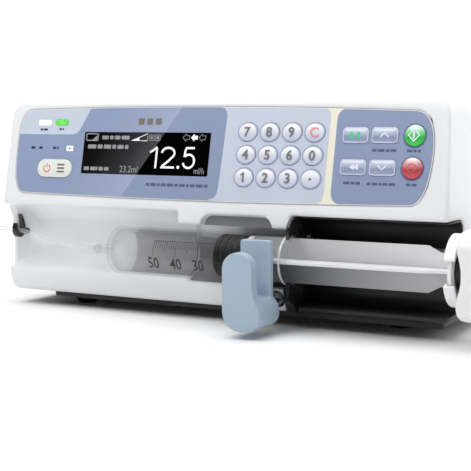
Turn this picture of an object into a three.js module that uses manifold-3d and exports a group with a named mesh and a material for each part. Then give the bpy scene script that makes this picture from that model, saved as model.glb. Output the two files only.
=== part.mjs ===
// Syringe infusion pump with a loaded 50 ml syringe.
// Units are millimetres, +X runs to the viewer's right, +Y to the back, +Z up.
// Pieces are laid out from the syringe axis (Y = 0) and the bottom edge of the
// case (Z = 0); the whole group is then moved so that its origin is at the
// centre of the footprint, on the surface that the rubber feet stand on.

import * as THREE from 'three';
import { mergeVertices } from 'three/addons/utils/BufferGeometryUtils.js';
import Module from 'manifold-3d';

const wasm = await Module();
wasm.setup();

// ---------------------------------------------------------------- driving dimensions

const GAP = 0.3; // running and seating gap between neighbouring pieces
const WALL = 2.5; // wall of the moulded shells
const FOOT_HEIGHT = 10; // from the case's bottom edge to the surface it stands on
const TRAY_DEPTH = 4; // the dark base tray hangs this far below the case

// case
const CASE_LEFT = -155.5;
const CASE_RIGHT = 155;
const CASE_TOP = 128;
const SPLIT_Y = 66; // parting plane of the front and rear shells
const CASE_BACK = 116;
const PANEL_TILT = THREE.MathUtils.degToRad(11.63);
const PANEL_FOOT_Z = 62; // the panel plane crosses Y = 0 at this height
const OVERHANG_Z = 57.6; // underside of the console above the syringe
const POCKET_LEFT = 59.5; // the pusher's pocket runs from here out of the right end
const POCKET_BACK = 27.5;

// syringe
const AXIS_Z = 31.7;
const BARREL_R = 15;
const BARREL_BORE_R = 13.7;
const BARREL_LEFT = -64;
const FLANGE_X = 60.5;
const FLANGE_T = 2;
const SEAL_TIP_X = 6.3;
const SEAL_BACK_X = 29.6;
const THUMB_X = 160.2;
const THUMB_T = 2.5;
const THUMB_R = 17.7;

// keys
const KEY_PITCH_X = 14.79;
const KEY_PITCH_S = 13.86;
const KEY_LEFT_X = 25.4;
const KEY_TOP_S = 45.8;
const KEY_W = 13.5;
const KEY_H = 11.8;
const KEY_PROUD = 1.2;

// drive
const SCREW_Y = 66;
const DRIVE_Z = 30;
const SCREW_R = 4;
const GUIDE_Y = 86;
const ARM_FRONT_Y = 21.2; // the push bar runs behind the plunger, along the pocket's back
const ARM_BACK_Y = 25;
const ARM_LOW_Z = 21;
const ARM_HIGH_Z = 41;
const GEAR_TEETH = 28;
const PINION_TEETH = 16;
const GEAR_X = 66;
const GEAR_W = 6;
const MOTOR_Y = SCREW_Y + (GEAR_TEETH + PINION_TEETH) / 2;

// pusher head
const HEAD_LEFT = 166;
const HEAD_RIGHT = 192;
const HEAD_LOW = 5.2;
const HEAD_HIGH = 56.3;
const LEVER_RIGHT = 204;

// syringe clamp
const CLAMP_X = 48;
const CLAMP_Z = 7.5;
const CLAMP_SHAFT_R = 4;
const CLAMP_FRONT_Y = -42;

// tube hook
const HOOK_X = -147;
const HOOK_Y = 4;
const HOOK_Z = 40.3;
const HOOK_OUTER_R = 5;
const HOOK_INNER_R = 2.2;
const HOOK_STEM_R = 2.2;
const HOOK_STEM_Z = HOOK_Z - 1.5;

// ---------------------------------------------------------------- materials

function finish(color, roughness, metalness = 0) {
  return new THREE.MeshStandardMaterial({ color, roughness, metalness });
}

const white = finish(0xeeeff1, 0.45);
const softWhite = finish(0xf4f4f5, 0.4);
const black = finish(0x17181a, 0.5);
const rubber = finish(0x26272a, 0.85);
const panelBlue = finish(0x8f9dbc, 0.4);
const clampBlue = finish(0xa9bccd, 0.45);
const keyWhite = finish(0xdfe3f0, 0.3);
const keyGrey = finish(0xa9b3cb, 0.3);
const green = finish(0x35c455, 0.3);
const red = finish(0xc04048, 0.3);
const clear = finish(0xd8dde2, 0.1);
const glassBlack = finish(0x08090b, 0.1);
const board = finish(0x1f6b45, 0.5);
const steel = finish(0xb9bcc0, 0.3, 0.9);
const brass = finish(0xc9a44c, 0.35, 0.9);
const aluminium = finish(0xc4c7cb, 0.4, 0.8);
const plungerGrey = finish(0xc4c5c8, 0.35);

// ---------------------------------------------------------------- solid helpers

function solid(geometry) {
  let g = geometry.index ? geometry : geometry.clone();
  g = g.clone();
  for (const name of Object.keys(g.attributes)) {
    if (name !== 'position') g.deleteAttribute(name);
  }
  g = mergeVertices(g, 1e-4);
  const vertProperties = new Float32Array(g.attributes.position.array);
  const triVerts = new Uint32Array(g.index.array);
  return new wasm.Manifold(new wasm.Mesh({ numProp: 3, vertProperties, triVerts }));
}

function geometryOf(manifold) {
  const mesh = manifold.getMesh();
  const g = new THREE.BufferGeometry();
  const stride = mesh.numProp;
  const count = mesh.vertProperties.length / stride;
  const position = new Float32Array(count * 3);
  for (let i = 0; i < count; i += 1) {
    for (let k = 0; k < 3; k += 1) position[3 * i + k] = mesh.vertProperties[stride * i + k];
  }
  g.setAttribute('position', new THREE.BufferAttribute(position, 3));
  g.setIndex(Array.from(mesh.triVerts));
  g.computeVertexNormals();
  return g;
}

function join(...solids) {
  return solids.reduce((a, b) => a.add(b));
}

function cut(base, ...tools) {
  return tools.reduce((a, b) => a.subtract(b), base);
}

function common(...solids) {
  return solids.reduce((a, b) => a.intersect(b));
}

function shapeOf(points) {
  return new THREE.Shape(points.map(([a, b]) => new THREE.Vector2(a, b)));
}

function extrude(shape, depth, segments = 6) {
  const outline = shape instanceof THREE.Shape ? shape : shapeOf(shape);
  const options = { depth, bevelEnabled: false, curveSegments: segments };
  return new THREE.ExtrudeGeometry(outline, options);
}

function placed(geometry, xAxis, yAxis, zAxis, origin) {
  const m = new THREE.Matrix4().makeBasis(
    new THREE.Vector3(...xAxis),
    new THREE.Vector3(...yAxis),
    new THREE.Vector3(...zAxis),
  );
  m.setPosition(...origin);
  return solid(geometry.applyMatrix4(m));
}

// outline in (Y, Z), swept from x0 to x1
function alongX(outline, x0, x1, segments) {
  const g = extrude(outline, x1 - x0, segments);
  return placed(g, [0, 1, 0], [0, 0, 1], [1, 0, 0], [x0, 0, 0]);
}

// outline in (X, Z), swept from y0 to y1
function alongY(outline, y0, y1, segments) {
  const g = extrude(outline, y1 - y0, segments);
  return placed(g, [1, 0, 0], [0, 0, 1], [0, -1, 0], [0, y1, 0]);
}

// outline in (X, Y), swept from z0 to z1
function alongZ(outline, z0, z1, segments) {
  const g = extrude(outline, z1 - z0, segments);
  return placed(g, [1, 0, 0], [0, 1, 0], [0, 0, 1], [0, 0, z0]);
}

function block(x0, x1, y0, y1, z0, z1) {
  const g = new THREE.BoxGeometry(x1 - x0, y1 - y0, z1 - z0);
  g.translate((x0 + x1) / 2, (y0 + y1) / 2, (z0 + z1) / 2);
  return solid(g);
}

function rodX(radius, x0, x1, y, z, sides = 24) {
  const g = new THREE.CylinderGeometry(radius, radius, x1 - x0, sides);
  g.rotateZ(-Math.PI / 2);
  g.translate((x0 + x1) / 2, y, z);
  return solid(g);
}

function rodY(radius, y0, y1, x, z, sides = 24) {
  const g = new THREE.CylinderGeometry(radius, radius, y1 - y0, sides);
  g.translate(x, (y0 + y1) / 2, z);
  return solid(g);
}

function rodZ(radius, z0, z1, x, y, sides = 24) {
  const g = new THREE.CylinderGeometry(radius, radius, z1 - z0, sides);
  g.rotateX(Math.PI / 2);
  g.translate(x, y, (z0 + z1) / 2);
  return solid(g);
}

// profile of [x, radius] pairs turned about the line Y = y, Z = z
function turnedX(profile, y, z, sides = 36) {
  const points = profile.map(([x, r]) => new THREE.Vector2(r, x));
  if (THREE.ShapeUtils.area(points) < 0) points.reverse();
  const g = new THREE.LatheGeometry(points, sides);
  g.rotateZ(-Math.PI / 2);
  g.translate(0, y, z);
  return solid(g);
}

function roundedRect(x0, x1, y0, y1, r) {
  const s = new THREE.Shape();
  s.moveTo(x0 + r, y0);
  s.absarc(x1 - r, y0 + r, r, -Math.PI / 2, 0);
  s.absarc(x1 - r, y1 - r, r, 0, Math.PI / 2);
  s.absarc(x0 + r, y1 - r, r, Math.PI / 2, Math.PI);
  s.absarc(x0 + r, y0 + r, r, Math.PI, 1.5 * Math.PI);
  return s;
}

function ellipse(x, y, width, height) {
  const s = new THREE.Shape();
  s.absellipse(x, y, width / 2, height / 2, 0, 2 * Math.PI);
  return s;
}

const pump = new THREE.Group();

function add(name, shape, material, parent = pump) {
  const g = shape instanceof THREE.BufferGeometry ? shape : geometryOf(shape);
  const mesh = new THREE.Mesh(g, material);
  mesh.name = name;
  parent.add(mesh);
  return mesh;
}

// The control panel's own frame: x to the right, y up the slope, z out of the panel.
const panelFrame = new THREE.Matrix4().makeRotationX(Math.PI / 2 - PANEL_TILT);
panelFrame.setPosition(0, 0, PANEL_FOOT_Z);

// outline in the panel's plane, swept from depth n0 to n1 along the outward normal
function onPanel(outline, n0, n1, segments = 6) {
  const g = extrude(outline, n1 - n0, segments);
  g.translate(0, 0, n0);
  return solid(g.applyMatrix4(panelFrame));
}

// ---------------------------------------------------------------- case

function overlayOutline(inset) {
  const s = new THREE.Shape();
  const i = inset;
  s.moveTo(-140.5 + i, 59.6 - i);
  s.quadraticCurveTo(-10, 63.4 - i, 132 - i, 58.4 - i);
  s.bezierCurveTo(140 - i, 58.1 - i, 143.4 - i, 49, 143.2 - i, 36);
  s.bezierCurveTo(143 - i, 22, 141 - i, 6.2 + i, 133 - i, 4.8 + i);
  s.quadraticCurveTo(0, 3.4 + i, -141 + i, 6.2 + i);
  s.bezierCurveTo(-147 + i, 6.6 + i, -149.6 + i, 16, -149.4 + i, 36);
  s.bezierCurveTo(-149.4 + i, 50, -148 + i, 59.2 - i, -140.5 + i, 59.6 - i);
  return s;
}

const displayHole = roundedRect(-95, 0, 17.8, 45.2, 1);
const powerKeyHole = roundedRect(-130.3, -102.3, 14.4, 27, 6.2);
const alarmLampHole = roundedRect(-133.5, -122.9, 49.1, 53.3, 1.4);
const runLampHole = roundedRect(-119.5, -108.9, 49.4, 53.6, 1.4);

const numberKeys = [];
for (let row = 0; row < 3; row += 1) {
  for (let column = 0; column < 4; column += 1) {
    const label = ['7', '8', '9', 'clear', '4', '5', '6', '0', '1', '2', '3', 'point'][4 * row + column];
    const x = KEY_LEFT_X + KEY_PITCH_X * column;
    const s = KEY_TOP_S - KEY_PITCH_S * row;
    numberKeys.push({ name: `key_${label}`, x, s });
  }
}

const commandKeys = [
  { name: 'key_alarm_mute', x: 95.9, s: 44.3 },
  { name: 'key_up', x: 113.8, s: 44.4 },
  { name: 'key_bolus', x: 95.9, s: 25.6 },
  { name: 'key_down', x: 113.8, s: 25.6 },
];
const COMMAND_W = 16;
const COMMAND_H = 9.2;

const roundKeys = [
  { name: 'key_start', x: 131.7, s: 44.3, material: green },
  { name: 'key_stop', x: 131.7, s: 25.6, material: red },
];
const ROUND_D = 12.3;

function commandOutline(key, grow) {
  const w = COMMAND_W / 2 + grow;
  const h = COMMAND_H / 2 + grow;
  return roundedRect(key.x - w, key.x + w, key.s - h, key.s + h, 2);
}

// every opening that the keys, lamps and display pass through
function panelHoles(grow, n0, n1) {
  const holes = [];
  for (const k of numberKeys) {
    holes.push(onPanel(ellipse(k.x, k.s, KEY_W + 2 * grow, KEY_H + 2 * grow), n0, n1));
  }
  for (const k of commandKeys) holes.push(onPanel(commandOutline(k, grow), n0, n1, 1));
  for (const k of roundKeys) {
    holes.push(onPanel(ellipse(k.x, k.s, ROUND_D + 2 * grow, ROUND_D + 2 * grow), n0, n1));
  }
  for (const outline of [displayHole, powerKeyHole, alarmLampHole, runLampHole]) {
    holes.push(onPanel(outline, n0, n1, 2));
  }
  return holes;
}

function arcPoints(cy, cz, r, from, to, steps) {
  const points = [];
  for (let i = 0; i <= steps; i += 1) {
    const a = THREE.MathUtils.degToRad(from + ((to - from) * i) / steps);
    points.push([cy + r * Math.cos(a), cz + r * Math.sin(a)]);
  }
  return points;
}

// section of the front shell through the syringe cradle, in (Y, Z)
function cradleSection(cradleR) {
  return [
    [9, 0],
    [5.8, 1],
    [4.4, 3.4],
    [1.3, 12.3],
    [1.7, 14.3],
    ...arcPoints(0, AXIS_Z, cradleR, -80, 0, 10),
    [cradleR, 42],
    [cradleR - 1.5, 49],
    [cradleR - 4.5, 54],
    [cradleR - 9, OVERHANG_Z - 0.6],
    [2.5, OVERHANG_Z],
    [0.4, OVERHANG_Z + 0.3],
    [-0.5, OVERHANG_Z + 1.6],
    [11.9, 120],
    [13.2, 124.4],
    [15.6, 127],
    [19.5, CASE_TOP],
    [SPLIT_Y, 118.5],
    [SPLIT_Y, 0],
  ];
}

// front view of the whole case, in (X, Z)
function frontOutline() {
  const s = new THREE.Shape();
  s.moveTo(-147, 0);
  s.quadraticCurveTo(-150.5, 0.5, -150.4, 5);
  s.lineTo(-150, 32);
  s.quadraticCurveTo(-150.5, 46, CASE_LEFT, 58);
  s.lineTo(-154, 116);
  s.quadraticCurveTo(-153, 125.6, -143, 126);
  s.quadraticCurveTo(0, CASE_TOP + 2, 140, 127);
  s.quadraticCurveTo(150.5, 126.5, 151.5, 116);
  s.lineTo(CASE_RIGHT, 58);
  s.lineTo(CASE_RIGHT, 8);
  s.quadraticCurveTo(CASE_RIGHT, 0.5, 147, 0);
  return s;
}

// front view of the room inside the case, in (X, Z)
const hollowFront = [
  [-147.4, -2],
  [-147.4, 34],
  [-152, 60],
  [-150.5, 116],
  [-142, 122.4],
  [0, 125],
  [140, 123.6],
  [148, 116],
  [152, 58],
  [152, -2],
];

// plan of the console seen along the panel's slope, in (x, depth behind the panel)
function consolePlan() {
  const s = new THREE.Shape();
  s.moveTo(CASE_LEFT, -130);
  s.lineTo(CASE_LEFT, -8);
  s.quadraticCurveTo(CASE_LEFT, 3.4, CASE_LEFT + 9, 3.4);
  s.lineTo(CASE_RIGHT - 9, 3.4);
  s.quadraticCurveTo(CASE_RIGHT, 3.4, CASE_RIGHT, -8);
  s.lineTo(CASE_RIGHT, -130);
  return s;
}

function consoleEnvelope() {
  const g = extrude(consolePlan(), 160, 6);
  const c = Math.cos(PANEL_TILT);
  const s = Math.sin(PANEL_TILT);
  const top = 80;
  const origin = [0, top * s, PANEL_FOOT_Z + top * c];
  return placed(g, [1, 0, 0], [0, -c, s], [0, -s, -c], origin);
}

function pocketSection(grow) {
  const back = POCKET_BACK + grow;
  return [
    [-40, -5],
    [-40, 57.8],
    [back - 4, 57.8],
    [back, 54],
    [back, -5],
  ];
}

// flat bar that carries the pusher head, or with grow the passage that it slides through
function pushBar(x0, x1, grow = 0) {
  return block(x0, x1, ARM_FRONT_Y - grow, ARM_BACK_Y + grow, ARM_LOW_Z - grow, ARM_HIGH_Z + grow);
}

// wall that closes the cradle's left end behind the tube hook, seen from above
const cheekPlan = [
  [-156, 6.2],
  [-150.3, 6.2],
  [-149, 10],
  [-144.5, 13.6],
  [-138, 16.4],
  [-138, 20],
  [-156, 20],
];

function frontCase() {
  const whole = join(
    alongX(cradleSection(16), CASE_LEFT, -14),
    alongX(cradleSection(18), -14, CASE_RIGHT),
  );
  const boss = alongX([[-0.4, 60], [-2.3, 51.2], [-1.4, 50], [5, 50], [8.5, 54], [9, 60]], -18.6, 58.5);
  const stemHole = rodY(HOOK_STEM_R + GAP, 0, 15.5, HOOK_X, HOOK_STEM_Z, 14);
  const cheek = cut(alongZ(cheekPlan, 10, OVERHANG_Z), stemHole);
  const notch = roundedRect(-2, 46.4, 40, 56.8, 6.5);
  const hollowSection = [
    [4.2, 61.2],
    [15.9, 119],
    [19, 124.8],
    [SPLIT_Y + 1, 115.6],
    [SPLIT_Y + 1, -1],
    [30.5, -1],
    [30.5, 57],
    [25, 61.2],
  ];
  const hollow = common(alongX(hollowSection, CASE_LEFT, CASE_RIGHT), alongY(hollowFront, 0, SPLIT_Y + 2));
  const behindCradle = block(-147, POCKET_LEFT - 3, 20.8, 40, -1, 62);
  const underCradle = block(-143, POCKET_LEFT - 3, 9.5, 22, -1, 10.5);
  let body = cut(join(whole, boss, cheek), alongY(notch, -10, 3.5, 3));
  body = common(body, alongY(frontOutline(), -20, SPLIT_Y + 1, 4), consoleEnvelope());
  body = cut(body, hollow, behindCradle, underCradle);
  body = cut(body, alongX(pocketSection(0), POCKET_LEFT, CASE_RIGHT + 5));
  body = cut(body, onPanel(overlayOutline(-GAP), -1, 3, 6), ...panelHoles(0.4, -20, 3));
  const barPassage = pushBar(POCKET_LEFT - 5, POCKET_LEFT + 5, 0.4);
  return cut(body, barPassage, rodY(CLAMP_SHAFT_R + 0.1, -5, 40, CLAMP_X, CLAMP_Z));
}

function rearSection(inset) {
  const i = inset;
  return [
    [SPLIT_Y + GAP - (i ? 2 : 0), i ? -1 : 0],
    [SPLIT_Y + GAP - (i ? 2 : 0), 118.3 - i],
    [104, 108.5 - i],
    [112 - i, 103 - i],
    [CASE_BACK - i, 95],
    [CASE_BACK - i, i ? -1 : 5],
    [CASE_BACK - 4 - i, i ? -1 : 0],
  ];
}

function rearPlan(inset) {
  const i = inset;
  const s = new THREE.Shape();
  s.moveTo(-150 + i, SPLIT_Y - 3);
  s.lineTo(-136 + i, CASE_BACK - 12 - i);
  s.quadraticCurveTo(-132 + i, CASE_BACK - i, -122 + i, CASE_BACK - i);
  s.lineTo(122 - i, CASE_BACK - i);
  s.quadraticCurveTo(132 - i, CASE_BACK - i, 136 - i, CASE_BACK - 12 - i);
  s.lineTo(150 - i, SPLIT_Y - 3);
  return s;
}

const rearScrews = [[-118, 92], [118, 92], [-118, 14], [118, 14]];
const INLET_X = -106;
const INLET_Z = 28;
const SPEAKER_X = 78;
const SPEAKER_Z = 72;

function rearCase() {
  const outer = common(alongX(rearSection(0), -152, 152), alongZ(rearPlan(0), -1, 125, 5));
  const inner = common(alongX(rearSection(WALL), -152, 152), alongZ(rearPlan(WALL), -2, 125, 5));
  let body = cut(outer, inner);
  body = cut(body, block(INLET_X - 14.3, INLET_X + 14.3, 110, 120, INLET_Z - 10.3, INLET_Z + 10.3));
  for (const [x, z] of rearScrews) body = cut(body, rodY(1.9, 110, 120, x, z, 16));
  for (let k = -3; k <= 3; k += 1) {
    const z = SPEAKER_Z + 4 * k;
    body = cut(body, block(SPEAKER_X - 14, SPEAKER_X + 14, 110, 120, z - 0.9, z + 0.9));
  }
  return body;
}

function recessLiner() {
  const outer = [
    [2.2, 57.5],
    [POCKET_BACK - 4.2, 57.5],
    [POCKET_BACK - GAP, 53.8],
    [POCKET_BACK - GAP, 0.3],
    [6, 0.3],
    [2.4, 2.2],
    [2.4, 4],
    [18, 4.6],
    [25.8, 12],
    [25.8, 52.6],
    [22.6, 56.7],
    [2.2, 56.7],
  ];
  const trim = common(alongX(outer, POCKET_LEFT + GAP, CASE_RIGHT - 0.4), alongY(frontOutline(), -20, 60, 4));
  const flangeSlot = block(FLANGE_X - 2, FLANGE_X + FLANGE_T + 0.7, -12, 12, -2, 60);
  return cut(trim, flangeSlot);
}

add('front_case', frontCase(), white);
add('rear_case', rearCase(), white);
add('recess_liner', recessLiner(), black);

function bottomCover() {
  const plan = [
    [-145, 23],
    [-145, 60],
    [-131, 100],
    [-122, CASE_BACK - WALL - 3],
    [122, CASE_BACK - WALL - 3],
    [131, 100],
    [145, 60],
    [145, 33],
    [54, 33],
    [54, 23],
  ];
  const tray = alongZ(roundedRect(-126, 148, 12, 108, 6), -TRAY_DEPTH, -0.1, 3);
  const bridge = block(-110, 40, 36, 60, -0.2, GAP + 0.1);
  return join(alongZ(plan, GAP, WALL), tray, bridge);
}

add('bottom_cover', bottomCover(), black);

const feet = {
  foot_front_left: [-112, 33],
  foot_front_right: [112, 43],
  foot_back_left: [-112, 100],
  foot_back_right: [112, 100],
};
for (const [name, [x, y]] of Object.entries(feet)) {
  add(name, rodZ(8, -FOOT_HEIGHT, -TRAY_DEPTH, x, y), rubber);
}

// ---------------------------------------------------------------- control panel

function controlOverlay() {
  return cut(onPanel(overlayOutline(0), -0.7, 0, 6), ...panelHoles(0.3, -3, 3));
}

add('control_overlay', controlOverlay(), panelBlue);
add('display_window', onPanel(roundedRect(-94.8, -0.2, 18, 45, 0.8), -1.6, 0, 1), glassBlack);
add('display_module', onPanel(roundedRect(-99, 4, 13, 50, 1), -9.6, -4.6, 1), black);
add('alarm_lamp', onPanel(roundedRect(-133.3, -123.1, 49.3, 53.1, 1.2), -4, 0.5, 1), softWhite);
add('run_lamp', onPanel(roundedRect(-119.3, -109.1, 49.6, 53.4, 1.2), -4, 0.5, 1), green);
const keypadBoard = cut(
  onPanel(roundedRect(-138, 139, 9, 55, 2), -8.6, -7, 1),
  onPanel(roundedRect(-101, 6, 11.5, 51.5, 1), -12, -5, 1),
);
add('keypad_board', keypadBoard, board);

const KEY_BACK = -2.4;
const STEM_BACK = -5.8;

for (const k of numberKeys) {
  const cap = onPanel(ellipse(k.x, k.s, KEY_W, KEY_H), KEY_BACK, KEY_PROUD - 0.5, 5);
  const crown = onPanel(ellipse(k.x, k.s, KEY_W - 1.6, KEY_H - 1.6), KEY_PROUD - 0.6, KEY_PROUD, 5);
  const stem = onPanel(ellipse(k.x, k.s, 5, 5), STEM_BACK, KEY_BACK + 0.2, 2);
  add(k.name, join(cap, crown, stem), keyWhite);
}
for (const k of commandKeys) {
  const cap = onPanel(commandOutline(k, 0), KEY_BACK, KEY_PROUD - 0.5, 1);
  const crown = onPanel(commandOutline(k, -0.8), KEY_PROUD - 0.6, KEY_PROUD, 1);
  const stem = onPanel(ellipse(k.x, k.s, 5, 5), STEM_BACK, KEY_BACK + 0.2, 2);
  add(k.name, join(cap, crown, stem), keyGrey);
}
for (const k of roundKeys) {
  const cap = onPanel(ellipse(k.x, k.s, ROUND_D, ROUND_D), KEY_BACK, KEY_PROUD, 5);
  const crown = onPanel(ellipse(k.x, k.s, ROUND_D - 3, ROUND_D - 3), KEY_PROUD - 0.1, KEY_PROUD + 0.8, 5);
  const stem = onPanel(ellipse(k.x, k.s, 5, 5), STEM_BACK, KEY_BACK + 0.2, 2);
  add(k.name, join(cap, crown, stem), k.material);
}
const powerCap = onPanel(roundedRect(-130, -102.6, 14.7, 26.7, 5.9), KEY_BACK, 1, 2);
const powerStem = onPanel(ellipse(-116.3, 20.7, 5, 5), STEM_BACK, KEY_BACK + 0.2, 2);
add('key_power', join(powerCap, powerStem), softWhite);

// ---------------------------------------------------------------- electronics

function mainBoard() {
  const card = block(-120, 120, 38, 39.6, 64, 114);
  const processor = block(-30, -6, 39.4, 42, 80, 104);
  const header = block(40, 90, 39.4, 46, 66, 74);
  return join(card, processor, header);
}

function powerBoard() {
  const card = block(-126, -30, 70, 106, 64, 65.6);
  const transformer = block(-110, -80, 78, 102, 65.4, 90);
  const capacitor = rodZ(9, 65.4, 92, -56, 88, 16);
  return join(card, transformer, capacitor);
}

add('main_board', mainBoard(), board);
add('power_board', powerBoard(), board);
add('battery_pack', alongY(roundedRect(14, 62, 62, 100, 8), 70, 108, 2), black);

function mainsInlet() {
  const body = block(INLET_X - 14, INLET_X + 14, 94, CASE_BACK + 1, INLET_Z - 10, INLET_Z + 10);
  const socket = block(INLET_X - 11, INLET_X + 11, 100, CASE_BACK + 3, INLET_Z - 7, INLET_Z + 7);
  return cut(body, socket);
}

add('mains_inlet', mainsInlet(), black);

// ---------------------------------------------------------------- drive

const CHASSIS_LEFT = -74;
const CHASSIS_RIGHT = 60;
const MOTOR_X = GEAR_X + GEAR_W + 5.3;

function driveChassis() {
  const floor = block(CHASSIS_LEFT, MOTOR_X + 36, 56, 104, 3.4, 6);
  const leftPlate = block(CHASSIS_LEFT, CHASSIS_LEFT + 3, 56, 96, 4, 46);
  const rightPlate = block(CHASSIS_RIGHT, CHASSIS_RIGHT + 3, 56, 100, 4, 50);
  const motorPlate = block(MOTOR_X - 2.7, MOTOR_X - 0.3, 58, 104, 4, 50);
  const screwBore = rodX(SCREW_R + 0.05, CHASSIS_LEFT - 1, MOTOR_X, SCREW_Y, DRIVE_Z);
  const motorHole = rodX(10, MOTOR_X - 5, MOTOR_X, MOTOR_Y, DRIVE_Z);
  const guideHole = rodX(SCREW_R + 0.1, CHASSIS_LEFT - 1, MOTOR_X - 4, GUIDE_Y, DRIVE_Z);
  return cut(join(floor, leftPlate, rightPlate, motorPlate), screwBore, motorHole, guideHole);
}

function gearOutline(teeth, y, z, turn) {
  const points = [];
  const pitchR = teeth / 2;
  const root = pitchR - 1;
  const tip = pitchR + 0.75;
  for (let i = 0; i < teeth; i += 1) {
    const profile = [[-0.3, root], [-0.12, tip], [0.12, tip], [0.3, root]];
    for (const [step, r] of profile) {
      const a = ((i + step + turn) * 2 * Math.PI) / teeth;
      points.push([y + r * Math.cos(a), z + r * Math.sin(a)]);
    }
  }
  return points;
}

add('drive_chassis', driveChassis(), aluminium);
add('guide_rod', rodX(SCREW_R, CHASSIS_LEFT, CHASSIS_RIGHT + 3, GUIDE_Y, DRIVE_Z), steel);
add('lead_screw', rodX(SCREW_R, CHASSIS_LEFT, GEAR_X + GEAR_W + 2, SCREW_Y, DRIVE_Z), steel);
const screwGear = alongX(gearOutline(GEAR_TEETH, SCREW_Y, DRIVE_Z, 0), GEAR_X, GEAR_X + GEAR_W);
add('screw_gear', cut(screwGear, rodX(SCREW_R + 0.02, GEAR_X - 1, GEAR_X + 10, SCREW_Y, DRIVE_Z)), brass);

function stepperMotor() {
  const half = 17.5;
  return block(MOTOR_X, MOTOR_X + 35, MOTOR_Y - half, MOTOR_Y + half, DRIVE_Z - half, DRIVE_Z + half);
}

add('stepper_motor', stepperMotor(), steel);
const pinion = alongX(gearOutline(PINION_TEETH, MOTOR_Y, DRIVE_Z, 0.5), GEAR_X, GEAR_X + GEAR_W);
const motorShaft = rodX(2.5, GEAR_X + GEAR_W - 0.1, MOTOR_X - 0.3, MOTOR_Y, DRIVE_Z, 16);
add('motor_pinion', join(pinion, motorShaft), brass);

const CARRIAGE_LEFT = 3;
const CARRIAGE_RIGHT = 29;

function carriage() {
  const body = block(CARRIAGE_LEFT, CARRIAGE_RIGHT, ARM_BACK_Y - 2, 94, 18, 46);
  const screwSlot = block(CARRIAGE_LEFT - 1, CARRIAGE_RIGHT + 1, SCREW_Y - 9, SCREW_Y + 9, 10, DRIVE_Z + 6);
  const guideBore = rodX(SCREW_R + 0.05, CARRIAGE_LEFT - 5, CARRIAGE_RIGHT + 5, GUIDE_Y, DRIVE_Z);
  return cut(body, screwSlot, guideBore, pushBar(CARRIAGE_LEFT + 4, CARRIAGE_RIGHT + 5, 0.05));
}

function halfNut() {
  const body = block(CARRIAGE_LEFT + 4, CARRIAGE_RIGHT - 4, SCREW_Y - 7, SCREW_Y + 7, 15, DRIVE_Z - 0.1);
  return cut(body, rodX(SCREW_R + 0.05, CARRIAGE_LEFT, CARRIAGE_RIGHT, SCREW_Y, DRIVE_Z));
}

add('carriage', carriage(), aluminium);
add('half_nut', halfNut(), brass);
add('pusher_arm', pushBar(CARRIAGE_LEFT + 4.2, HEAD_LEFT + 14), steel);
const SEAL_LEFT = POCKET_LEFT + 0.1;
const SEAL_LOW_Z = ARM_LOW_Z - 2;
const SEAL_HIGH_Z = ARM_HIGH_Z + 2;
const sealFrame = block(SEAL_LEFT, SEAL_LEFT + 3, ARM_FRONT_Y - 1.6, ARM_BACK_Y + 0.7, SEAL_LOW_Z, SEAL_HIGH_Z);
add('arm_seal', cut(sealFrame, pushBar(POCKET_LEFT - 5, POCKET_LEFT + 5, GAP)), rubber);

// ---------------------------------------------------------------- pusher head

function pusherHead() {
  const face = new THREE.Shape();
  face.moveTo(HEAD_LEFT + 5, HEAD_LOW);
  face.quadraticCurveTo(HEAD_LEFT, HEAD_LOW, HEAD_LEFT, 11);
  face.bezierCurveTo(HEAD_LEFT, 20, HEAD_LEFT + 3, 22, HEAD_LEFT + 3, 31);
  face.bezierCurveTo(HEAD_LEFT + 3, 40, HEAD_LEFT, 42, HEAD_LEFT, 51);
  face.quadraticCurveTo(HEAD_LEFT, HEAD_HIGH, HEAD_LEFT + 6, HEAD_HIGH);
  face.lineTo(HEAD_RIGHT - 6, HEAD_HIGH);
  face.quadraticCurveTo(HEAD_RIGHT, HEAD_HIGH, HEAD_RIGHT, 51);
  face.lineTo(HEAD_RIGHT, 11);
  face.quadraticCurveTo(HEAD_RIGHT, HEAD_LOW, HEAD_RIGHT - 6, HEAD_LOW);
  const side = roundedRect(-22, ARM_BACK_Y + 0.4, HEAD_LOW, HEAD_HIGH, 14);
  const body = common(alongY(face, -30, 60, 5), alongX(side, 160, 200, 3));
  const barSlot = block(160, HEAD_LEFT + 14.05, ARM_FRONT_Y - 0.05, 40, ARM_LOW_Z - 0.05, ARM_HIGH_Z + 0.05);
  return cut(body, barSlot);
}

// an arc of a hooked ring that holds the rim of the thumb disc
function claw(fromDeg, toDeg) {
  const z = AXIS_Z + 0.6;
  const outer = [
    ...arcPoints(0, z, 20.6, fromDeg, toDeg, 8),
    ...arcPoints(0, z, 18.4, toDeg, fromDeg, 8),
  ];
  const lip = [
    ...arcPoints(0, z, 20.6, fromDeg, toDeg, 8),
    ...arcPoints(0, z, 15.6, toDeg, fromDeg, 8),
  ];
  return join(alongX(outer, 157.4, 165), alongX(lip, 157.4, THUMB_X - 0.5));
}

add('pusher_head', pusherHead(), softWhite);
add('claw_upper', claw(95, 160), softWhite);
add('claw_lower', claw(200, 265), softWhite);
const leverSide = [[193.2, 9], [194.8, 7.4], [196.6, 8.4], [LEVER_RIGHT, 49], [202.6, 51.6], [200.4, 50.8]];
add('clutch_lever', alongY(leverSide, -16, 20), clampBlue);

// ---------------------------------------------------------------- syringe

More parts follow.
